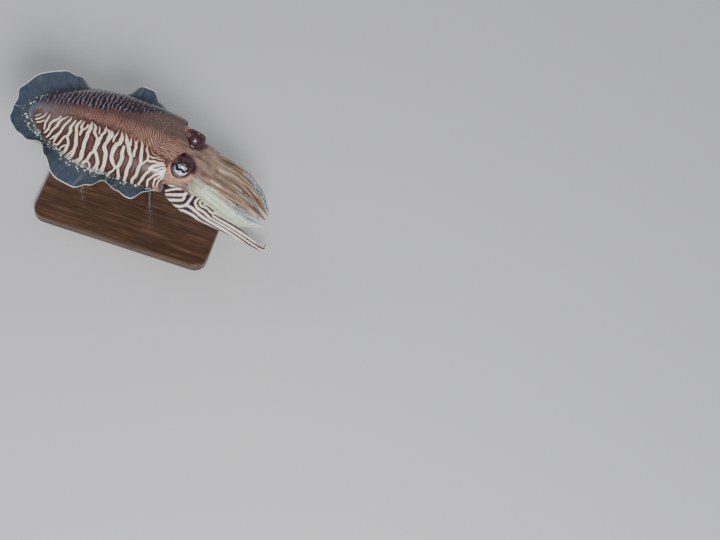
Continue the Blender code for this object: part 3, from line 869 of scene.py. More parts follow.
# The near flank's pale stripes: half width, then places ahead of the tail and down the flank, in millimetres
FLANK_STRIPES = [
    (0.7, (16, 16), (19, 14), (23, 12)),
    (0.9, (18, 20), (24, 18), (28, 15), (30, 11), (32, 9)),
    (0.8, (21, 24), (27, 24), (31, 22)),
    (0.9, (34, 33), (34, 26), (35, 21), (35, 16), (35, 13)),
    (1.1, (36, 38), (40, 32), (41, 26), (43, 22), (45, 20), (49, 18), (51, 15), (52, 12)),
    (1.2, (40, 44), (44, 39), (46, 34), (50, 28), (52, 22), (54, 18), (57, 15), (60, 12)),
    (1.3, (52, 49), (54, 42), (57, 36), (59, 31), (61, 24), (63, 19), (65, 15), (64, 11)),
    (0.7, (46, 47), (49, 44), (53, 41)),
    (1.3, (72, 16), (71, 22), (70, 26), (70, 31), (69, 36), (69, 40), (72, 44), (73, 49), (72, 54),
     (69, 61), (66, 67)),
    (1.1, (68, 38), (65, 40), (63, 43), (61, 48), (58, 52), (53, 52)),
    (0.7, (62, 59), (66, 54), (71, 51)),
    (1.7, (79, 14), (77, 19), (77, 24), (78, 30), (81, 36), (82, 42), (83, 48), (83, 53), (83, 58),
     (81, 64), (77, 72), (72, 82)),
    (0.9, (82, 54), (78, 59), (74, 66), (71, 72)),
    (1.2, (85, 33), (85, 29), (85, 26), (83, 22), (83, 18), (84, 14)),
    (0.8, (86, 26), (88, 25), (90, 21), (90, 17)),
    (2.1, (94, 12), (94, 19), (95, 24), (94, 30), (94, 35), (94, 40), (94, 45), (95, 52), (94, 59),
     (93, 66), (91, 72), (89, 82)),
    (1.1, (93, 65), (88, 69), (83, 76), (80, 86)),
    (1.7, (109, 50), (106, 54), (104, 60), (102, 65), (99, 70), (97, 79), (94, 91)),
    (1.1, (103, 64), (107, 69), (107, 75), (104, 85)),
    (1.2, (97, 14), (100, 20), (102, 25), (105, 29), (108, 33)),
    (1.2, (113, 13), (114, 18), (115, 22), (113, 26), (112, 31), (109, 34)),
    (0.7, (103, 16), (107, 21), (109, 25)),
    (2.7, (109, 33), (110, 37), (110, 43), (110, 47), (109, 50)),
    (1.9, (110, 49), (113, 52), (116, 57), (117, 63), (117, 69), (114, 75), (111, 83), (108, 95)),
    (1.1, (117, 67), (119, 72), (118, 78), (117, 86)),
    (2.1, (117, 17), (121, 21), (122, 26), (122, 32), (121, 37), (122, 43), (125, 49), (127, 56),
     (127, 62), (126, 69), (124, 76), (122, 88)),
    (0.8, (121, 16), (124, 20), (125, 25), (124, 29)),
    (1.1, (130, 12), (130, 19), (129, 24), (130, 30)),
    (2.0, (135, 14), (138, 22), (139, 29), (136, 32), (134, 36), (133, 41), (134, 47), (136, 53),
     (139, 58), (142, 62)),
    (2.0, (145, 32), (146, 38), (148, 44), (148, 50), (147, 56), (145, 61)),
    (1.3, (142, 62), (140, 66), (137, 72), (134, 79), (131, 89)),
    (1.5, (145, 60), (148, 65), (149, 71), (148, 80), (145, 95)),
    (2.0, (141, 14), (144, 21), (149, 26), (152, 31), (155, 36), (160, 42), (161, 47), (161, 54),
     (160, 60), (159, 67), (159, 76), (158, 94)),
    (0.9, (147, 14), (150, 20), (154, 27)),
    (1.3, (159, 12), (159, 18), (159, 23), (161, 28), (162, 34), (164, 39)),
    (0.8, (152, 14), (155, 19), (158, 22)),
    (2.0, (162, 12), (167, 22), (171, 29), (173, 36), (174, 41), (176, 46), (176, 51), (176, 56),
     (174, 63), (171, 70), (168, 84)),
    (1.2, (177, 46), (181, 43), (184, 40), (190, 38), (196, 37), (203, 37), (212, 36)),
    (1.2, (167, 14), (173, 20), (176, 24), (181, 30), (183, 34), (184, 40)),
    (0.9, (176, 17), (183, 24), (188, 28), (195, 29), (203, 29), (210, 28)),
    (0.9, (185, 32), (191, 33), (197, 32), (204, 32), (212, 32)),
    (1.6, (215, 38), (207, 40), (200, 42), (194, 45), (192, 48), (192, 52), (188, 57), (186, 62),
     (184, 68), (181, 76), (178, 92)),
    (0.8, (218, 41), (210, 44), (202, 48), (196, 48), (192, 48)),
    (1.2, (220, 43), (215, 47), (210, 50), (205, 54), (201, 58), (198, 61), (195, 65), (195, 71),
     (195, 79)),
    (0.7, (220, 46), (218, 49), (213, 52)),
    (1.1, (220, 48), (217, 53), (212, 56), (207, 60), (206, 64), (206, 70), (208, 76)),
    (0.9, (220, 50), (220, 54), (218, 58), (214, 62), (213, 66), (215, 71)),
]
# How far from a drawn line its depth is read, and how much broader than drawn it is painted
STROKE_REACH = 0.006
STROKE_GAIN = 0.00035
# The fine lines of the back nest round this place, ahead of the tail and down the flank
FINE_CENTRE = (0.195, -0.004)
FINE_SPREAD = 3.24
# The corner of the mantle's opening, measured in the same way
MOUTH_CORNER = (0.211, 0.076)
# At places ahead of the tail: how far down each flank the back's tone reaches, and how strong its lines are
NEAR_MARGIN = ((0.0, 0.07, 0.10, 0.15, 0.172, 0.19, 0.205), (0.006, 0.008, 0.010, 0.013, 0.018, 0.026, 0.028))
FAR_MARGIN = ((0.0, 0.10, 0.15, 0.19, 0.21), (0.006, 0.012, 0.026, 0.050, 0.060))
LINE_STRENGTH = ((0.06, 0.12, 0.15, 0.175), (0.04, 0.14, 0.36, 0.70))


def drawn(places, strokes):
    """How deep inside the nearest of the drawn strokes each place lies, negative outside, in metres."""
    depth = np.full(len(places), -STROKE_REACH)
    for half, *line in strokes:
        rows = np.array([(x, y, 0) for x, y in line]) / 1000
        curve = through(rows, 90)[:, :2]
        wide = half / 1000 * (1 - 0.4 * np.linspace(-1, 1, len(curve)) ** 4)
        low, high = curve.min(axis=0) - STROKE_REACH, curve.max(axis=0) + STROKE_REACH
        near = np.flatnonzero(((places > low) & (places < high)).all(axis=1))
        gap = np.linalg.norm(places[near, None] - curve[None], axis=2)
        depth[near] = np.maximum(depth[near], (wide - gap).max(axis=1))
    return depth


def mantle_marks(obj, s, w, fin_gap):
    """Stores each place on the mantle, its depth in the drawn stripes, and the tones of each region."""
    places = np.stack([s, w], axis=-1)
    ragged = 0.0022 * wander(places, 0.012, SEED)
    sway = 0.0006 * np.stack([wander(places, 0.014, SEED + 1), wander(places, 0.014, SEED + 2)], axis=-1)
    near = np.interp(s, *NEAR_MARGIN)
    fading = smoothstep(near + 0.014, near - 0.001, w)
    ink = drawn(places + sway, FLANK_STRIPES) + STROKE_GAIN - 0.0009 * fading
    far = np.interp(s, *FAR_MARGIN)
    back = smoothstep(0.003, -0.004, np.where(w > 0, w - near, -w - far) + ragged)
    lines = np.interp(s, *LINE_STRENGTH)
    store(obj, "place", s, w, fin_gap)
    store(obj, "ink", ink)
    store(obj, "fading", fading)
    # The third part grows towards the far flank, which the finish darkens with it, partly as painted shade
    store(obj, "tone", back, lines, smoothstep(0.004, -0.012, w))


def mantle_finish():
    """Drawn zebra stripes, fine nested lines on the back, dots along the fins, a pale belly, and a far flank
    darkened partly by painted shade.
    """
    hues = colours()
    paint = skin_finish("mantle_skin")
    mix, band, times, add, less = paint.mix, paint.band, paint.times, paint.add, paint.less
    s, w, fin_gap, place = paint.vector("place")
    ink = paint.number("ink")
    back, lines, far, _ = paint.vector("tone")
    wobble = less(paint.noise(place, 0.0045, 2.0), 0.5)
    ink = add(ink, times(wobble, 0.0007))
    ground = mix(band(ink, -0.0014, -0.0040), hues.maroon, hues.clay)
    ground = mix(times(band(ink, -0.0016, -0.0002), 0.6), ground, hues.rim)
    light = mix(times(paint.number("fading"), 0.75), hues.cream, hues.tan)
    flank = mix(band(ink, -0.0003, 0.0004), ground, light)
    turns = times(s, 1 / sizes().far_spacing)
    strays = times(less(paint.noise(place, 0.014, 1.6), 0.5), 2.0)
    turns = add(turns, strays)
    thin = paint.sum("COSINE", times(turns, 2 * math.pi))
    broken = band(paint.noise(place, 0.0075, 2.0), 0.42, 0.58)
    front = band(s, 0.105, 0.14)
    whole = less(1.0, times(front, less(1.0, broken)))
    thin = times(band(thin, 0.10, 0.80), whole)
    # Far flank: mauve lines on a dark plum ground, partly its own colour and partly painted shade
    shade = mix(times(thin, 0.9), hues.plum_and_far_shade, hues.mauve)
    base = mix(band(w, -0.001, -0.003), flank, shade)
    left = paint.sum("MAXIMUM", less(FINE_CENTRE[0], s), 0.0)
    across = less(w, FINE_CENTRE[1])
    reach = paint.distance(left, across)
    calm = band(reach, 0.004, 0.016)
    drift = less(paint.noise(place, 0.016, 2.0), 0.5)
    reach = add(reach, add(times(wobble, 0.0016), times(drift, 0.0095)))
    reach = paint.sum("MAXIMUM", reach, 0.0)
    turns = paint.sum("LOGARITHM", add(1.0, times(reach, FINE_SPREAD)), math.e)
    fine = paint.sum("COSINE", times(turns, 2 * math.pi / (FINE_SPREAD * sizes().fine_spacing)))
    fuzz = paint.noise(paint.stretch(place, (1.0, 0.22, 1.0)), 0.0020, 3.0, 0.6)
    middle = mix(band(s, 0.010, 0.045), hues.tail, hues.dusk)
    middle = mix(band(s, 0.045, 0.085), middle, hues.midline)
    lines = times(lines, add(times(calm, 0.65), 0.35))
    dark = mix(lines, mix(0.35, middle, hues.umber), hues.umber)
    pale = mix(lines, mix(0.25, middle, hues.tan), hues.tan)
    middle = mix(band(fine, -0.45, 0.40), dark, pale)
    middle = mix(times(band(fuzz, 0.38, 0.70), 0.35), middle, hues.umber)
    # The back's middle band darkens towards the far flank, partly its own plum and partly painted shade
    middle = mix(times(far, 0.62), middle, hues.plum_and_far_shade)
    base = mix(back, base, middle)
    pearls = paint.cells(place, sizes().pearl_spacing, jitter=0.75)
    ring = times(band(fin_gap, 0.0002, 0.0022), band(fin_gap, 0.0125, 0.0065))
    ring = times(ring, band(s, 0.165, 0.12))
    # The dots' ground also darkens towards the far flank, partly as painted shade
    soft = mix(far, hues.teal, hues.plum_and_far_shade)
    base = mix(times(ring, add(0.45, times(far, 0.25))), base, soft)
    base = mix(times(band(pearls, 0.40, 0.28), ring), base, hues.pearl)
    tip = times(band(s, 0.018, 0.004), 0.8)
    base = mix(tip, base, hues.tail)
    away = less(s, MOUTH_CORNER[0])
    down = less(w, MOUTH_CORNER[1])
    away = paint.distance(away, down)
    base = mix(band(away, 0.0085, 0.004), base, hues.rust)
    under = band(fin_gap, 0.0008, -0.010)
    mottle = paint.noise(place, 0.010, 4.0)
    belly = mix(band(mottle, 0.4, 0.75), hues.belly, hues.fin)
    base = mix(under, base, belly)
    base = colour_cells(paint, base, paint.here())
    paint.paint("Base Color", base)
    skin_bump(paint, paint.here())
    return paint


class CUTTLEFISH_OT_mantle(bpy.types.Operator):
    """Makes the mantle's striped skin with its free front edge"""

    bl_idname = "cuttlefish.mantle"
    bl_label = "Mantle"

    def execute(self, context):
        angles = ring_angles(MANTLE_SIDES) - math.pi / 2
        u = np.linspace(0, 1, MANTLE_RINGS + 1)[1:] ** 1.35
        rings = mantle_point(u[:, None], angles[None, :])
        rolled = []
        for turn in np.linspace(0, math.pi, 6)[1:]:
            inset = -COLLAR_WALL / 2 * (1 - math.cos(turn))
            lip = mantle_point(1.0, angles, inset)
            rolled.append(lip + np.array((0, -COLLAR_ROLL * math.sin(turn), 0)))
        floor_y = TAIL_Y - MANTLE_LENGTH * COLLAR_FLOOR
        inner = rolled[-1]
        for t in (0.35, 0.7, 1.0):
            row = inner.copy()
            row[:, 1] += (floor_y + COLLAR_GAP - row[:, 1]) * t
            rolled.append(row)
        rings = np.concatenate([rings, np.array(rolled)])
        back = world(MANTLE_LENGTH * COLLAR_FLOOR - COLLAR_GAP, 0, 0)
        points, faces = shell(rings, start=world(0, 0, 0), end=back)
        mantle = new_object("mantle_skin", points, faces)
        steps = np.linalg.norm(np.roll(rings, -1, axis=1) - rings, axis=2)
        run = np.concatenate([np.zeros((len(rings), 1)), np.cumsum(steps, axis=1)[:, :-1]], axis=1)
        top = MANTLE_SIDES // 2
        w = run[:, top:top + 1] - run
        right = np.searchsorted(angles, 0.0)
        left = np.searchsorted(angles, math.pi)
        gap = np.where(w > 0, w[:, right:right + 1] - w, w - w[:, left:left + 1])
        s = np.broadcast_to(np.concatenate([u, np.ones(len(rolled))])[:, None] * MANTLE_LENGTH, w.shape)
        fields = [np.append(f.ravel(), (0.0, f[-1].mean())) for f in (s, w, gap)]
        mantle_marks(mantle, *fields)
        mantle_finish().dress(mantle)
        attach(mantle, "root")
        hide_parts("mantle")
        return {"FINISHED"}


# Fins


def fin_sheet(hand, table):
    """Both faces of a rippling fin, with place along, distance out and share of the width for each point."""
    end = table[-1][0]
    u = FIN_START + (end - FIN_START) * (np.arange(FIN_STATIONS + 1) / FIN_STATIONS) ** 1.6
    roots = mantle_point(u, 0.0 if hand > 0 else math.pi)
    along = unit(np.gradient(roots, axis=0))
    outward = unit(np.cross(along, (0, 0, 1))) * hand
    outward[0] = (0, 1, 0)
    rows = np.array([smooth_table(table, value) for value in u])
    width, tilt = part_of(rows[:, 0]), np.radians(rows[:, 1])
    run = run_of(roots)
    place = roots - outward * FIN_SINK
    faces = {1: [], -1: []}
    marks = []
    up = np.array((0, 0, 1))
    for j in range(FIN_STRIPS + 1):
        q = j / FIN_STRIPS
        bend = tilt * q**0.6
        if j:
            step = outward * np.cos(bend)[:, None] + up * np.sin(bend)[:, None]
            place = place + step * ((width + FIN_SINK) / FIN_STRIPS)[:, None]
        rays = FIN_RAY_HEIGHT * np.sin(run * 2 * math.pi / FIN_RAY_SPACING) * min(1, 4 * q * (1 - q))
        half = (FIN_ROOT_THICKNESS * (1 - q) + FIN_EDGE_THICKNESS * q) / 2 * math.sqrt(max(1 - q**14, 0.2))
        normal = up * np.cos(bend)[:, None] - outward * np.sin(bend)[:, None]
        for face in (1, -1):
            faces[face].append(place + normal * (half * face + rays)[:, None])
        marks.append(np.stack([run, q * width, np.full_like(run, q)], axis=-1))
    return np.array(faces[1] + faces[-1][::-1]), np.array(marks + marks[::-1])


def fin_finish():
    """Blue-grey, finely rayed, with dots near its root and a white line along its edge."""
    hues = colours()
    paint = Finish(
        "fin_skin",
        Roughness=0.34,
        Subsurface_Weight=0.25,
        Subsurface_Radius=(0.003, 0.003, 0.0035),
        Subsurface_Scale=0.5,
        Coat_Weight=sizes().wetness,
        Coat_Roughness=0.2,
        IOR=1.36,
    )
    _, out, q, place = paint.vector("place")
    left = paint.number("left")
    fine = paint.noise(paint.stretch(place, (1.0, 0.12, 0.0)), 0.0012, 2.0)
    cloud = paint.noise(place, 0.022, 3.0)
    base = paint.mix(paint.band(fine, 0.3, 0.75), hues.fin, FIN_PALE)
    base = paint.mix(paint.times(paint.band(cloud, 0.35, 0.7), 0.5), base, FIN_GREEN)
    base = paint.mix(paint.band(q, 0.46, 0.04), base, hues.fin_root)
    dots = paint.cells(paint.stretch(place, (1.0, 1.0, 0.0)), sizes().pearl_spacing * 0.7)
    near = paint.band(out, 0.010, 0.003)
    base = paint.mix(paint.times(paint.band(dots, 0.36, 0.26), near), base, hues.pearl)
    edge = paint.band(left, 0.0012, 0.0006)
    base = paint.mix(edge, base, hues.fin_edge)
    base = colour_cells(paint, base, paint.here())
    paint.paint("Base Color", base)
    paint.bump(paint.add(paint.times(fine, 0.7), paint.noise(paint.here(), 0.004, 3.0)), sizes().relief, 0.5)
    return paint


class CUTTLEFISH_OT_fins(bpy.types.Operator):
    """Makes the two rippling fins"""

    bl_idname = "cuttlefish.fins"
    bl_label = "Fins"

    def execute(self, context):
        paint = fin_finish()
        for name, hand, table in (("right", 1, FIN_RIGHT), ("left", -1, FIN_LEFT)):
            rows, marks = fin_sheet(hand, table)
            count = FIN_STATIONS + 1
            points = rows.reshape(-1, 3)
            total = len(rows)
            faces = []
            for j in range(total):
                a, b = j * count, ((j + 1) % total) * count
                faces += [(a + k, a + k + 1, b + k + 1, b + k) for k in range(FIN_STATIONS)]
            for k in (0, FIN_STATIONS):
                for j in range(FIN_STRIPS):
                    a, b = j * count + k, (j + 1) * count + k
                    c, d = (total - 2 - j) * count + k, (total - 1 - j) * count + k
                    faces.append((a, b, c, d))
            fin = new_object(f"fin_{name}_skin", points, faces)
            marks = marks.reshape(-1, 3)
            store(fin, "place", *marks.T)
            _, out, q = marks.T
            store(fin, "left", np.where(q > 0, out * (1 / np.maximum(q, 0.01) - 1), 1.0))
            paint.dress(fin)
            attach(fin, "root")
            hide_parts(f"fin_{name}")
        return {"FINISHED"}


# Head and arms


def head_rings():
    """Rings of the head's skin, closed ahead by the crown between the arms' roots."""
    table = np.array(HEAD_SECTIONS)
    rings = []
    for v in np.linspace(0, 1, HEAD_RINGS + 1):
        centre, _, right, upward = head_frame(v)
        reach = [part_of(float(np.interp(v, table[:, 0], table[:, c]))) for c in (1, 2, 3)]
        side, up = oval(ring_angles(HEAD_SIDES), *reach)
        ring = centre + right * side[:, None] + upward * up[:, None]
        for hand in (1, -1):
            ring = ring + eye_bulge(ring, hand) * min(1, v / 0.3) ** 2
        rings.append(ring)
    crown, forward, _, _ = head_frame(1.0)
    for ahead, size in CROWN:
        rings.append(crown + (rings[HEAD_RINGS] - crown) * size + forward * part_of(ahead))
    return np.array(rings), crown + forward * part_of(CROWN_RISE)


def web_rings(first, second):
    """A thin web of skin that joins two neighbouring arms in their root halves, with a hollowed free edge."""
    turn = ring_angles(WEB_SIDES)
    t = np.linspace(0, WEB_REACH, WEB_RINGS)[:, None] * (1 - WEB_HOLLOW * np.sin(turn) ** 2)
    a, b = (arm.at(t * arm.length, arm.place) for arm in (first, second))
    outward = unit(first.at(t * first.length, first.outward) + second.at(t * second.length, second.outward))
    thick = WEB_THICKNESS * np.sqrt(1 - (t / WEB_REACH) ** 4) + WEB_EDGE
    rise = outward * (WEB_RISE + np.sin(turn) * thick)[..., None]
    return (a + b) / 2 + (b - a) * (np.cos(turn) * 0.5)[:, None] + rise


def mound_rings(hand):
    """A round mound of skin over the eyeball, which the opening is then pressed into."""
    facing, across, rise = lid_axes(hand)
    polar = np.linspace(0.12, math.pi * 0.94, MOUND_RINGS)[:, None]
    turn = ring_angles(MOUND_SIDES)[None, :]
    radius = part_of(MOUND_RADIUS)
    spread = (np.cos(turn)[..., None] * across + np.sin(turn)[..., None] * rise) * np.sin(polar)[..., None]
    return eye_centre(hand) + radius * (facing * np.cos(polar)[..., None] + spread)


def open_lids(points):
    """Presses the skin inside each eye's opening down behind the eyeball's surface."""
    for hand in (1, -1):
        facing, across, rise = lid_axes(hand)
        local = points - eye_centre(hand)
        ahead = local @ facing
        radius = part_of(EYEBALL)
        wide = part_of(EYE_OPENING) * np.interp(ahead / radius, (0.30, 1.60), (0.85, 1.15))
        reach = np.hypot(local @ across, (local @ rise) / OPENING_HEIGHT) / wide
        inside = (reach < 1) & (ahead > 0.3 * radius) & (ahead < 1.8 * radius)
        size = np.linalg.norm(local, axis=1)
        points = np.where(inside[:, None], eye_centre(hand) + local / size[:, None] * radius * 0.86, points)
    return points


def lid_rings(hand):
    """A soft rim round the eye's opening, thicker over the eye."""
    facing, across, rise = lid_axes(hand)
    turn = ring_angles(LID_RINGS)
    radius = part_of(EYEBALL)
    wide = part_of(EYE_OPENING) * 0.985
    flat = np.cos(turn)[:, None] * across * wide + np.sin(turn)[:, None] * rise * wide * OPENING_HEIGHT
    ahead = np.sqrt((radius + LID_CLEARANCE) ** 2 - np.linalg.norm(flat, axis=1) ** 2)
    middle = eye_centre(hand) + flat + facing * ahead[:, None]
    thick = LID_THICKNESS + LID_BROW * np.maximum(np.sin(turn), 0) ** 1.5
    out = unit(flat)
    section = ring_angles(LID_SIDES)
    tube = np.cos(section)[None, :, None] * out[:, None, :] + np.sin(section)[None, :, None] * facing
    return middle[:, None, :] + tube * thick[:, None, None]


def limb_marks(points):
    """For each point the nearest arm, and where along, round and how deep in it the point lies."""
    best = np.full(len(points), 1e9)
    index = np.zeros(len(points), int)
    along, turn, arc, before = (np.zeros(len(points)) for _ in range(4))
    for number, arm in enumerate(ALL_ARMS):
        near = (points**2).sum(1)[:, None] + (arm.place**2).sum(1)[None, :] - 2 * points @ arm.place.T
        k = near.argmin(axis=1)
        run = arm.run[k] + ((points - arm.place[k]) * arm.along[k]).sum(1)
        past = np.abs(run - np.clip(run, 0, arm.length))
        local = points - arm.at(run, arm.place)
        side = (local * arm.at(run, arm.across)).sum(1)
        up = (local * arm.at(run, arm.outward)).sum(1)
        breadth, thick = arm.at(run, arm.breadth), arm.at(run, arm.depth)
        depth = np.hypot(side / breadth, up / thick) + past / ARM_END_REACH
        take = depth < best
        best = np.where(take, depth, best)
        index = np.where(take, number, index)
        along = np.where(take, run, along)
        before = np.where(take, past / ARM_END_REACH, before)
        angle = np.arctan2(side, up)
        turn = np.where(take, angle, turn)
        arc = np.where(take, angle * (breadth + thick) / 2, arc)
    return index, along, turn, arc, best, best - before


# The pale lines under the eyes, drawn on a plane that faces each cheek: its directions and origin, then
# each line's half width and its places in millimetres
CHEEK_ACROSS = (0.3298, -0.9201, 0.0257)
CHEEK_DOWN = (-0.8108, -0.2889, -0.5227)
CHEEK_ORIGIN = (-0.05888, 0.01270)
CHEEK_LINES = [
    (0.8, (-16, -14), (-11, -12), (-5, -12), (0, -14), (4, -16), (6, -20)),
    (0.9, (-18, -5), (-10, -7), (-4, -8), (2, -8), (8, -10), (12, -13), (14, -17)),
    (1.5, (-19, 0), (-11, 0), (-4, 0), (1, 0), (6, -1), (11, -4), (14, -8), (16, -13)),
    (1.3, (-18, 5), (-13, 7), (-7, 7), (0, 7), (4, 6), (6, 2), (6, -1)),
    (1.3, (-15, 11), (-9, 14), (-4, 15), (3, 15), (9, 12), (12, 8), (14, 5), (17, 1), (21, -4)),
    (1.5, (3, 15), (9, 14), (15, 17), (21, 22), (28, 28), (35, 33), (42, 38)),
    (1.2, (-10, 17), (-3, 20), (4, 21), (9, 23), (17, 27), (23, 32), (30, 37), (37, 40)),
    (1.3, (37, 5), (33, 3), (27, 3), (22, 6), (20, 10), (21, 14), (24, 18), (32, 23), (38, 29), (45, 34)),
    (1.2, (35, 8), (32, 6), (28, 8), (26, 10), (28, 14), (35, 17), (41, 23), (49, 28)),
    (1.2, (38, 8), (40, 12), (44, 17), (51, 23)),
    (0.7, (31, 11), (35, 13)),
]
CHEEK_TOP = -0.0155
# The fourth arm's lines: where the drawn ones give way to even ones, and the even ones' share and shift
DRAWN_REACH = (0.078, 0.090)
LINE_SHARE = 0.31
LINE_SHIFT = 0.19
DASH_SPACING = 0.0042
# Distances from the eye's middle over which its dark dome and the ring round its opening fade
EYE_DOME = (0.0225, 0.0165)
EYE_RING = (0.0150, 0.0128)
# Warm spots by the eye: distance behind and below its middle, and spread
PEACH_SPOTS = ((0.016, 0.002, 0.009), (0.005, 0.0175, 0.010))


def cheek_places(points, hand):
    """Places on the plane that faces the right cheek, or on its mirror image for the left one."""
    turned = points * (hand, 1, 1)
    return np.stack([turned @ CHEEK_ACROSS, turned @ CHEEK_DOWN], axis=-1) + CHEEK_ORIGIN


def head_marks(obj):
    """Stores the places on head and limbs, and how much of each marking they carry."""
    points = points_of(obj)
    index, along, turn, arc, depth, beside = limb_marks(points)
    lengths, number, hand = np.array([(arm.length, arm.number, arm.hand) for arm in ALL_ARMS]).T[:, index]
    crown, forward, right, upward = head_frame(1.0)
    local = points - crown
    ahead, side, up = local @ forward, local @ right, local @ upward
    limb = smoothstep(-0.014, 0.034, ahead)
    t = along / lengths
    zebra, ink = np.zeros(len(points)), np.full(len(points), -STROKE_REACH)
    for which in (1, -1):
        places = cheek_places(points, which)
        mine = (number == 4) & (hand == which)
        inked = drawn(places, CHEEK_LINES) + STROKE_GAIN
        across = (arc / sizes().arm_band - LINE_SHIFT + 0.5) % 1 - 0.5
        lines = sizes().arm_band * (LINE_SHARE - np.abs(across))
        inked = inked + (lines - inked) * smoothstep(*DRAWN_REACH, along)
        top = places[:, 1] - CHEEK_TOP + 0.010 * smoothstep(0.004, 0.016, places[:, 0])
        zebra = np.where(mine, smoothstep(1.5, 1.2, depth) * smoothstep(-0.0025, 0.0010, top), zebra)
        ink = np.where(mine, inked, ink)
    mint = smoothstep(1.75, 1.10, beside) * np.where(number == 3, smoothstep(-0.030, 0.018, ahead), 0.0)
    crest = limb * np.exp(-(((turn * hand + np.where(number == 3, 1.5, 0.9)) / 0.42) ** 2))
    crest = crest * smoothstep(0.30, 0.55, t) * np.where(number == 2, 0.45, 1.0)
    oral = smoothstep(0.004, 0.020, ahead) * smoothstep(2.05, 2.45, np.abs(turn))
    seam = limb * smoothstep(1.05, 1.55, np.abs(turn)) * np.where(number == 4, 0.0, 1.0)
    brow, peach, ring = (np.zeros(len(points)) for _ in range(3))
    for which in (1, -1):
        facing, across, rise = lid_axes(which)
        spot = points - eye_centre(which)
        size = np.linalg.norm(spot, axis=1)
        dome = smoothstep(*EYE_DOME, size)
        height = (spot @ rise) / np.maximum(size, 1e-6)
        brow = np.maximum(brow, dome * smoothstep(-0.25, 0.10, height))
        radial = np.linalg.norm(spot - facing * (spot @ facing)[:, None], axis=1)
        ring = np.maximum(ring, smoothstep(*EYE_RING, radial) * dome)
        for back, down, spread in PEACH_SPOTS:
            away = np.linalg.norm(spot + across * back + rise * down, axis=1)
            peach = np.maximum(peach, np.exp(-((away / spread) ** 2)))
        peach = np.maximum(peach, dome * smoothstep(0.05, -0.40, height) * 0.85)
    peach = peach * (1 - ring)
    brow = np.maximum(brow * (1 - 0.8 * peach), ring * 0.9)
    store(obj, "limb", along, arc, index * 0.5)
    store(obj, "flow", ahead * 0.14, side, up)
    store(obj, "zones", zebra, mint, crest)
    store(obj, "marks", brow, peach, oral)
    store(obj, "spread", limb, t, seam)
    store(obj, "left_arms", limb * np.where(hand < 0, 1.0, 0.0))
    store(obj, "ink", ink)


def head_finish():
    """Streaked brown head and upper arms, pale green third arms, zebra cheeks and fourth arms."""
    hues = colours()
    paint = skin_finish("head_skin", 0.34)
    mix, band, times, add, less = paint.mix, paint.band, paint.times, paint.add, paint.less
    along, _, _, limb_place = paint.vector("limb")
    zebra, mint, crest, _ = paint.vector("zones")
    brow, peach, oral, _ = paint.vector("marks")
    limb, t, seam, _ = paint.vector("spread")
    ink = paint.number("ink")
    left = paint.number("left_arms")
    here = paint.here()
    flow = paint.node("ShaderNodeAttribute", output=1, attribute_name="flow")
    streak = paint.noise(flow, 0.0062, 3.0, 0.55)
    blotch = paint.noise(here, 0.020, 3.0, 0.5)
    base = mix(band(streak, 0.36, 0.62), hues.bark, hues.olive)
    base = mix(times(band(blotch, 0.40, 0.70), 0.45), base, hues.taupe)
    lines = paint.noise(paint.stretch(limb_place, (0.07, 1.0, 1.0)), 0.0042, 2.0, 0.5)
    arm = mix(band(lines, 0.34, 0.52), hues.bark, hues.olive)
    arm = mix(band(lines, 0.50, 0.66), arm, hues.straw)
    far_arm = mix(band(lines, 0.40, 0.60), hues.ink, hues.rim)
    arm = mix(times(left, 0.65), arm, far_arm)
    base = mix(limb, base, arm)
    pale = mix(band(lines, 0.30, 0.62), hues.sage, hues.mint)
    base = mix(mint, base, pale)
    base = mix(times(seam, 0.6), base, mix(mint, hues.brow, hues.blush))
    beads = paint.cells(limb_place, 0.0034, jitter=0.8)
    base = mix(times(crest, 0.55), base, hues.silver)
    base = mix(times(band(beads, 0.42, 0.24), crest), base, hues.pearl)
    wobble = less(paint.noise(limb_place, 0.005, 2.0), 0.5)
    ink = add(ink, times(wobble, 0.0009))
    dashes = add(times(along, 2 * math.pi / DASH_SPACING), times(wobble, 9.0))
    dashes = paint.sum("COSINE", dashes)
    tip = band(t, 0.62, 0.85)
    ink = less(ink, times(times(less(0.45, dashes), tip), 0.0007))
    bands = mix(band(ink, -0.0018, -0.0003), hues.ink, hues.clay)
    bands = mix(band(ink, -0.0003, 0.0004), bands, hues.cream)
    base = mix(zebra, base, bands)
    base = mix(oral, base, hues.sucker)
    flecks = paint.noise(here, 0.0035, 3.0)
    dark = mix(band(flecks, 0.52, 0.72), hues.brow, hues.clay)
    base = mix(brow, base, dark)
    base = mix(peach, base, mix(band(flecks, 0.42, 0.7), hues.peach, hues.apricot))
    base = colour_cells(paint, base, here)
    paint.paint("Base Color", base)
    skin_bump(paint, here)
    return paint


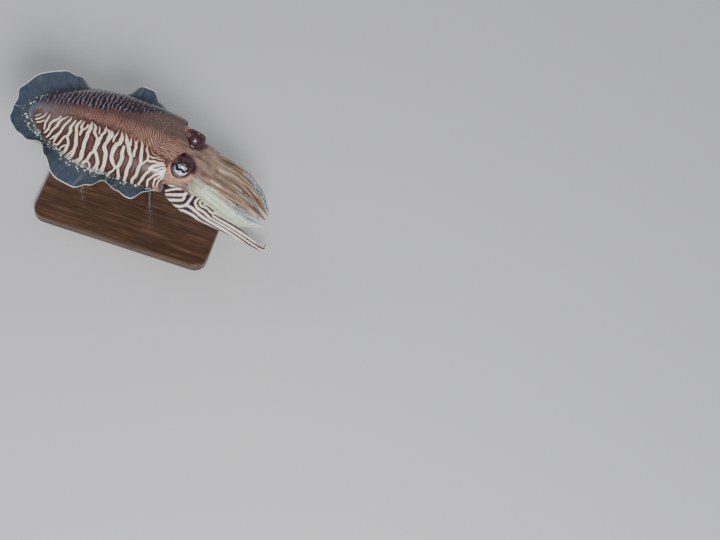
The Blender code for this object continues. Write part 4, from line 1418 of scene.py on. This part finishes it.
class CUTTLEFISH_OT_head_and_arms(bpy.types.Operator):
    """Makes one skin over the head, the eye mounds and the eight arms"""

    bl_idname = "cuttlefish.head_and_arms"
    bl_label = "Head and arms"

    def execute(self, context):
        rings, pole = head_rings()
        parts = [shell(rings, end=pole)]
        parts += [shell(mound_rings(hand)) for hand in (1, -1)]
        parts += [shell(arm.rings(ARM_RINGS, ARM_SIDES), end=arm.place[-1]) for arm in ALL_ARMS]
        order = [ALL_ARMS[k] for k in (4, 2, 0, 1, 3, 5)]
        parts += [shell(web_rings(first, second)) for first, second in zip(order, order[1:])]
        points, faces = [], []
        for some_points, some_faces in parts:
            start = len(points)
            points += some_points.tolist()
            faces += [tuple(k + start for k in face) for face in some_faces]
        skin = new_object("head_and_arms_skin", points, faces)
        apply(skin, "REMESH", mode="VOXEL", voxel_size=SKIN_VOXEL)
        points = points_of(skin)
        edges = np.empty(len(skin.data.edges) * 2, np.int32)
        skin.data.edges.foreach_get("vertices", edges)
        edges = edges.reshape(-1, 2)
        crown, forward, _, _ = head_frame(1.0)
        ahead = (points - crown) @ forward
        near = np.exp(-((ahead / BLEND_REACH) ** 2))
        points = relax(points, edges, np.ones(len(points)), SKIN_PASSES)
        points = relax(points, edges, near, BLEND_PASSES)
        points = open_lids(points)
        set_points(skin, points)
        rims = []
        for hand in (1, -1):
            tube = lid_rings(hand)
            rows, sides = tube.shape[:2]
            quads = np.array(grid_faces(rows + 1, sides)) % (rows * sides)
            rims.append(new_object("rim", tube.reshape(-1, 3), quads.tolist()))
        only(skin)
        for rim in rims:
            rim.select_set(True)
        bpy.ops.object.join()
        skin.data.shade_smooth()
        head_marks(skin)
        head_finish().dress(skin)
        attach(skin, "root")
        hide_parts("head", *ARM_NODES)
        return {"FINISHED"}


# Suckers


def sucker_form():
    """A cupped disc with a rounded rim, one unit in radius, its root at the origin."""
    select_none()
    bpy.ops.mesh.primitive_cylinder_add(vertices=9, radius=0.85, depth=1.6, location=(0, 0, 0))
    cup = bpy.context.active_object
    bpy.ops.object.mode_set(mode="EDIT")
    mesh = bmesh.from_edit_mesh(cup.data)
    mesh.faces.ensure_lookup_table()
    top = max(mesh.faces, key=lambda face: face.calc_center_median().z)
    for face in mesh.faces:
        face.select_set(face is top)
    bmesh.update_edit_mesh(cup.data)
    bpy.ops.transform.resize(value=(1.15, 1.15, 1))
    bpy.ops.mesh.inset(thickness=0.30)
    bpy.ops.transform.translate(value=(0, 0, 0.10))
    bpy.ops.mesh.inset(thickness=0.18)
    bpy.ops.transform.translate(value=(0, 0, -0.45))
    bpy.ops.mesh.select_all(action="SELECT")
    bpy.ops.mesh.quads_convert_to_tris()
    bpy.ops.object.mode_set(mode="OBJECT")
    points = points_of(cup)
    faces = np.array([tuple(face.vertices) for face in cup.data.polygons])
    bpy.data.objects.remove(cup)
    return points, faces


def sucker_finish():
    hues = colours()
    paint = Finish(
        "suckers", Roughness=0.30, Subsurface_Weight=0.2, Subsurface_Radius=(0.002, 0.0014, 0.001),
        Coat_Weight=sizes().wetness, Coat_Roughness=0.15,
    )
    tint = paint.noise(paint.here(), 0.004, 2.0)
    base = paint.mix(paint.band(tint, 0.3, 0.7), hues.sucker, SUCKER_PALE)
    paint.paint("Base Color", base)
    paint.bump(paint.noise(paint.here(), 0.0008, 2.0), 0.00015, 0.5)
    return paint


class CUTTLEFISH_OT_suckers(bpy.types.Operator):
    """Sets four rows of suckers along the inner side of each arm, out to its tip"""

    bl_idname = "cuttlefish.suckers"
    bl_label = "Suckers"

    def execute(self, context):
        form, form_faces = sucker_form()
        rng = np.random.default_rng(SEED)
        points, faces = [], []
        crown, forward, _, _ = head_frame(1.0)
        for arm in ALL_ARMS:
            distance = 0.0
            while (arm.at(distance, arm.place) - crown) @ forward < FIRST_SUCKER:
                distance += 0.001
            while distance < arm.length - 0.0012:
                breadth, depth = arm.at(distance, arm.breadth), arm.at(distance, arm.depth)
                radius = max(breadth * SUCKER_RADIUS, SUCKER_LEAST)
                for k, row in enumerate(SUCKER_ROWS):
                    at = distance + radius * SUCKER_SPACING * (0.5 if k % 2 else 0)
                    if at > arm.length:
                        continue
                    along, outward = arm.at(at, arm.along), unit(arm.at(at, arm.outward))
                    across = np.cross(along, outward)
                    curve = (1 - abs(row) ** ARM_SECTION_POWER) ** (1 / ARM_SECTION_POWER)
                    floor = depth * ORAL_FLATNESS * curve
                    lean = unit(across * row * 0.75 - outward)
                    side = unit(np.cross(along, lean))
                    root = arm.at(at, arm.place) + across * breadth * row - outward * floor
                    size = radius * rng.uniform(0.88, 1.12)
                    local = form * size
                    place = root - lean * min(SUCKER_SINK, floor) + along * local[:, :1]
                    place = place + side * local[:, 1:2] + lean * local[:, 2:]
                    start = len(points) * len(form)
                    points.append(place)
                    faces.append(form_faces + start)
                distance += radius * SUCKER_SPACING
        rows = np.concatenate(faces).tolist()
        suckers = new_object("suckers", np.concatenate(points), rows)
        sucker_finish().dress(suckers)
        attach(suckers, "root")
        return {"FINISHED"}


# Eyes


def pupil_distance(x, y):
    """Distance from the middle line of a W."""
    half, high = PUPIL_WIDTH / 2, PUPIL_HEIGHT / 2
    line = [(-half, high), (-half * 0.62, -high), (0, high * 0.1), (half * 0.62, -high), (half, high)]
    least = np.full(x.shape, 1.0)
    for (ax, ay), (bx, by) in zip(line, line[1:]):
        dx, dy = bx - ax, by - ay
        t = np.clip(((x - ax) * dx + (y - ay) * dy) / (dx * dx + dy * dy), 0, 1)
        least = np.minimum(least, np.hypot(x - ax - t * dx, y - ay - t * dy))
    return least


def eye_finish():
    hues = colours()
    paint = Finish("eye", Roughness=0.12, Coat_Weight=1.0, Coat_Roughness=0.03, IOR=1.4)
    x, y, gap, place = paint.vector("eye_place")
    cloud = paint.noise(place, 0.005, 3.0, 0.6)
    base = paint.mix(paint.band(cloud, 0.38, 0.58), hues.iris, IRIS_PALE)
    # Painted shade: the eyeball darkens towards its top, under the brow
    base = paint.mix(paint.band(y, 0.001, 0.0065), base, IRIS_BROW_SHADE)
    base = paint.mix(paint.band(y, 0.0050, 0.0085), base, hues.brow)
    outer = paint.distance(x, y)
    base = paint.mix(paint.band(outer, 0.0070, 0.0102), base, IRIS_EDGE)
    base = paint.mix(paint.band(gap, PUPIL_STROKE * 0.84, PUPIL_STROKE * 0.66), base, hues.pupil)
    paint.paint("Base Color", base)
    return paint


class CUTTLEFISH_OT_eyes(bpy.types.Operator):
    """Makes the two silver eyes with their W-shaped pupils"""

    bl_idname = "cuttlefish.eyes"
    bl_label = "Eyes"

    def execute(self, context):
        paint = eye_finish()
        for name, hand in (("right", 1), ("left", -1)):
            look, across, rise = eye_axes(hand)
            select_none()
            bpy.ops.mesh.primitive_uv_sphere_add(
                segments=EYE_SEGMENTS, ring_count=EYE_BANDS, radius=part_of(EYEBALL)
            )
            eye = bpy.context.active_object
            eye.name = f"eye_{name}_ball"
            local = points_of(eye)
            flat = local * (1, 1, EYEBALL_FLATNESS)
            gap = pupil_distance(flat[:, 0], flat[:, 1])
            ahead = flat[:, 2] > 0
            gap = np.where(ahead, gap, 1.0)
            sunk = np.where(gap < PUPIL_STROKE / 2, -PUPIL_SINK, 0.0)
            flat = flat * (1 + sunk / part_of(EYEBALL))[:, None]
            places = eye_centre(hand) + flat[:, :1] * across + flat[:, 1:2] * rise
            set_points(eye, places + flat[:, 2:] * look)
            face_outwards(eye.data)
            store(eye, "eye_place", flat[:, 0], flat[:, 1], gap)
            eye.data.shade_smooth()
            paint.dress(eye)
            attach(eye, "root")
            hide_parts(f"eye_{name}")
        return {"FINISHED"}


# Funnel


class CUTTLEFISH_OT_funnel(bpy.types.Operator):
    """Makes the funnel under the neck"""

    bl_idname = "cuttlefish.funnel"
    bl_label = "Funnel"

    def execute(self, context):
        table = np.array(FUNNEL)
        outer, inner = [], []
        for k in range(FUNNEL_RINGS + 1):
            x = table[-1, 0] * k / FUNNEL_RINGS
            drop, wide, high = [part_of(v) for v in smooth_table(FUNNEL, x)]
            for rings, wall in ((outer, 0.0), (inner, FUNNEL_WALL)):
                side, up = oval(ring_angles(FUNNEL_SIDES), wide - wall, high - wall, high - wall, 2.0)
                rings.append(world(MANTLE_LENGTH * COLLAR_FLOOR - COLLAR_GAP + part_of(x), side, up - drop))
        bore = [ring for k, ring in enumerate(inner) if k / FUNNEL_RINGS > 1 - FUNNEL_BORE]
        points, faces = shell(np.array(outer + bore[::-1]))
        funnel = new_object("funnel_skin", points, faces)
        hues = colours()
        paint = skin_finish("funnel_skin", 0.38)
        cloud = paint.noise(paint.here(), 0.008, 4.0)
        base = paint.mix(paint.band(cloud, 0.4, 0.7), hues.belly, hues.peach)
        paint.paint("Base Color", colour_cells(paint, base, paint.here()))
        skin_bump(paint, paint.here())
        paint.dress(funnel)
        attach(funnel, "root")
        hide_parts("funnel")
        return {"FINISHED"}


# Display stand


def wood_finish():
    hues = colours()
    paint = Finish("stand_wood", Roughness=0.34, Coat_Weight=0.25, Coat_Roughness=0.2)
    here = paint.here()
    grain = paint.noise(paint.stretch(here, (14.0, 1.0, 14.0)), 0.035, 5.0, 0.62)
    rings = paint.noise(paint.stretch(here, (5.0, 0.35, 5.0)), 0.030, 2.0, 0.5)
    base = paint.mix(paint.band(grain, 0.35, 0.68), hues.wood, WOOD_PALE)
    base = paint.mix(paint.times(paint.band(rings, 0.42, 0.58), 0.45), base, WOOD_DARK)
    paint.paint("Base Color", base)
    paint.bump(grain, 0.0002, 0.5)
    return paint


def steel_finish():
    hues = colours()
    paint = Finish("stand_steel", Roughness=0.26, Metallic=1.0)
    here = paint.here()
    brush = paint.noise(paint.stretch(here, (1.0, 1.0, 0.05)), 0.0006, 3.0)
    paint.paint("Base Color", paint.mix(paint.band(brush, 0.3, 0.7), hues.steel, STEEL_PALE))
    paint.bump(brush, 0.00005, 0.4)
    return paint


class CUTTLEFISH_OT_display_stand(bpy.types.Operator):
    """Gives the stand's base and rods their wood and brushed steel"""

    bl_idname = "cuttlefish.display_stand"
    bl_label = "Display stand"

    def execute(self, context):
        wood, steel = wood_finish(), steel_finish()
        wood.dress(frame["nodes"]["stand_base"])
        for name in ("stand_rod_front", "stand_rod_back"):
            steel.dress(frame["nodes"][name])
        return {"FINISHED"}


# Stage


def area_light(name, place, size, power):
    data = bpy.data.lights.new(name, "AREA")
    data.energy = power
    data.size = size
    lamp = bpy.data.objects.new(name, data)
    lamp.location = place
    lamp.rotation_euler = (Vector(place) - Vector(LIGHT_AIM)).to_track_quat("Z", "Y").to_euler()
    bpy.context.scene.collection.objects.link(lamp)


def photo_camera():
    """The camera that sees the model where the photograph shows the animal."""
    back = Vector((
        -math.cos(CAMERA_RISE) * math.cos(CAMERA_TURN),
        -math.cos(CAMERA_RISE) * math.sin(CAMERA_TURN),
        math.sin(CAMERA_RISE),
    ))
    focal = PIXELS_PER_METRE * CAMERA_DISTANCE
    across, down = AIM_PIXEL
    right, drop = across - PHOTO_WIDTH / 2, down - PHOTO_HEIGHT / 2
    toward = Vector((right / focal, -drop / focal, -1.0)).normalized()
    x = Vector((0, 0, 1)).cross(back).normalized()
    straight = Matrix((x, back.cross(x), back)).transposed()
    ray = straight @ toward
    turn = Matrix.Rotation(ray.angle(-back), 3, ray.cross(-back).normalized()) @ straight
    data = bpy.data.cameras.new("photo_camera")
    data.sensor_width = SENSOR
    data.lens = focal / PHOTO_WIDTH * SENSOR
    camera = bpy.data.objects.new("photo_camera", data)
    camera.matrix_world = Matrix.Translation(Vector(CAMERA_AIM) + back * CAMERA_DISTANCE) @ turn.to_4x4()
    bpy.context.scene.collection.objects.link(camera)
    bpy.context.scene.camera = camera


class CUTTLEFISH_OT_stage(bpy.types.Operator):
    """Sets the floor, the soft light and the camera"""

    bl_idname = "cuttlefish.stage"
    bl_label = "Stage"

    def execute(self, context):
        select_none()
        bpy.ops.mesh.primitive_plane_add(size=FLOOR_SIZE, location=(0, 0, -FLOOR_DROP))
        floor = bpy.context.active_object
        floor.name = "floor"
        paint = Finish("floor", Roughness=0.9)
        cloud = paint.noise(paint.here(), 0.6, 2.0)
        paint.paint("Base Color", paint.mix(cloud, colours().floor, FLOOR_PALE))
        paint.dress(floor)
        for name, (place, size, power) in LIGHTS.items():
            area_light(name, place, size, power)
        studio = bpy.data.worlds.new("studio")
        studio.use_nodes = True
        background = studio.node_tree.nodes["Background"]
        background.inputs["Color"].default_value = SKY_COLOUR
        background.inputs["Strength"].default_value = SKY_STRENGTH
        bpy.context.scene.world = studio
        photo_camera()
        return {"FINISHED"}


STEPS = (
    CUTTLEFISH_OT_mantle,
    CUTTLEFISH_OT_fins,
    CUTTLEFISH_OT_head_and_arms,
    CUTTLEFISH_OT_suckers,
    CUTTLEFISH_OT_eyes,
    CUTTLEFISH_OT_funnel,
    CUTTLEFISH_OT_display_stand,
    CUTTLEFISH_OT_stage,
)


class CUTTLEFISH_PT_panel(bpy.types.Panel):
    """Lists the model's pieces"""

    bl_label = "Cuttlefish"
    bl_space_type = "VIEW_3D"
    bl_region_type = "UI"
    bl_category = "Cuttlefish"

    def draw(self, context):
        for step in STEPS:
            self.layout.operator(step.bl_idname)


CLASSES = (CuttlefishSizes, CuttlefishColours, *STEPS, CUTTLEFISH_PT_panel)


def register():
    for item in CLASSES:
        bpy.utils.register_class(item)
    bpy.types.Scene.cuttlefish_sizes = bpy.props.PointerProperty(type=CuttlefishSizes)
    bpy.types.Scene.cuttlefish_colours = bpy.props.PointerProperty(type=CuttlefishColours)


def unregister():
    del bpy.types.Scene.cuttlefish_colours
    del bpy.types.Scene.cuttlefish_sizes
    for item in reversed(CLASSES):
        bpy.utils.unregister_class(item)


def main():
    register()
    bpy.ops.cuttlefish.mantle()
    bpy.ops.cuttlefish.fins()
    bpy.ops.cuttlefish.head_and_arms()
    bpy.ops.cuttlefish.suckers()
    bpy.ops.cuttlefish.eyes()
    bpy.ops.cuttlefish.funnel()
    bpy.ops.cuttlefish.display_stand()
    bpy.ops.cuttlefish.stage()


if __name__ == "__main__":
    main()
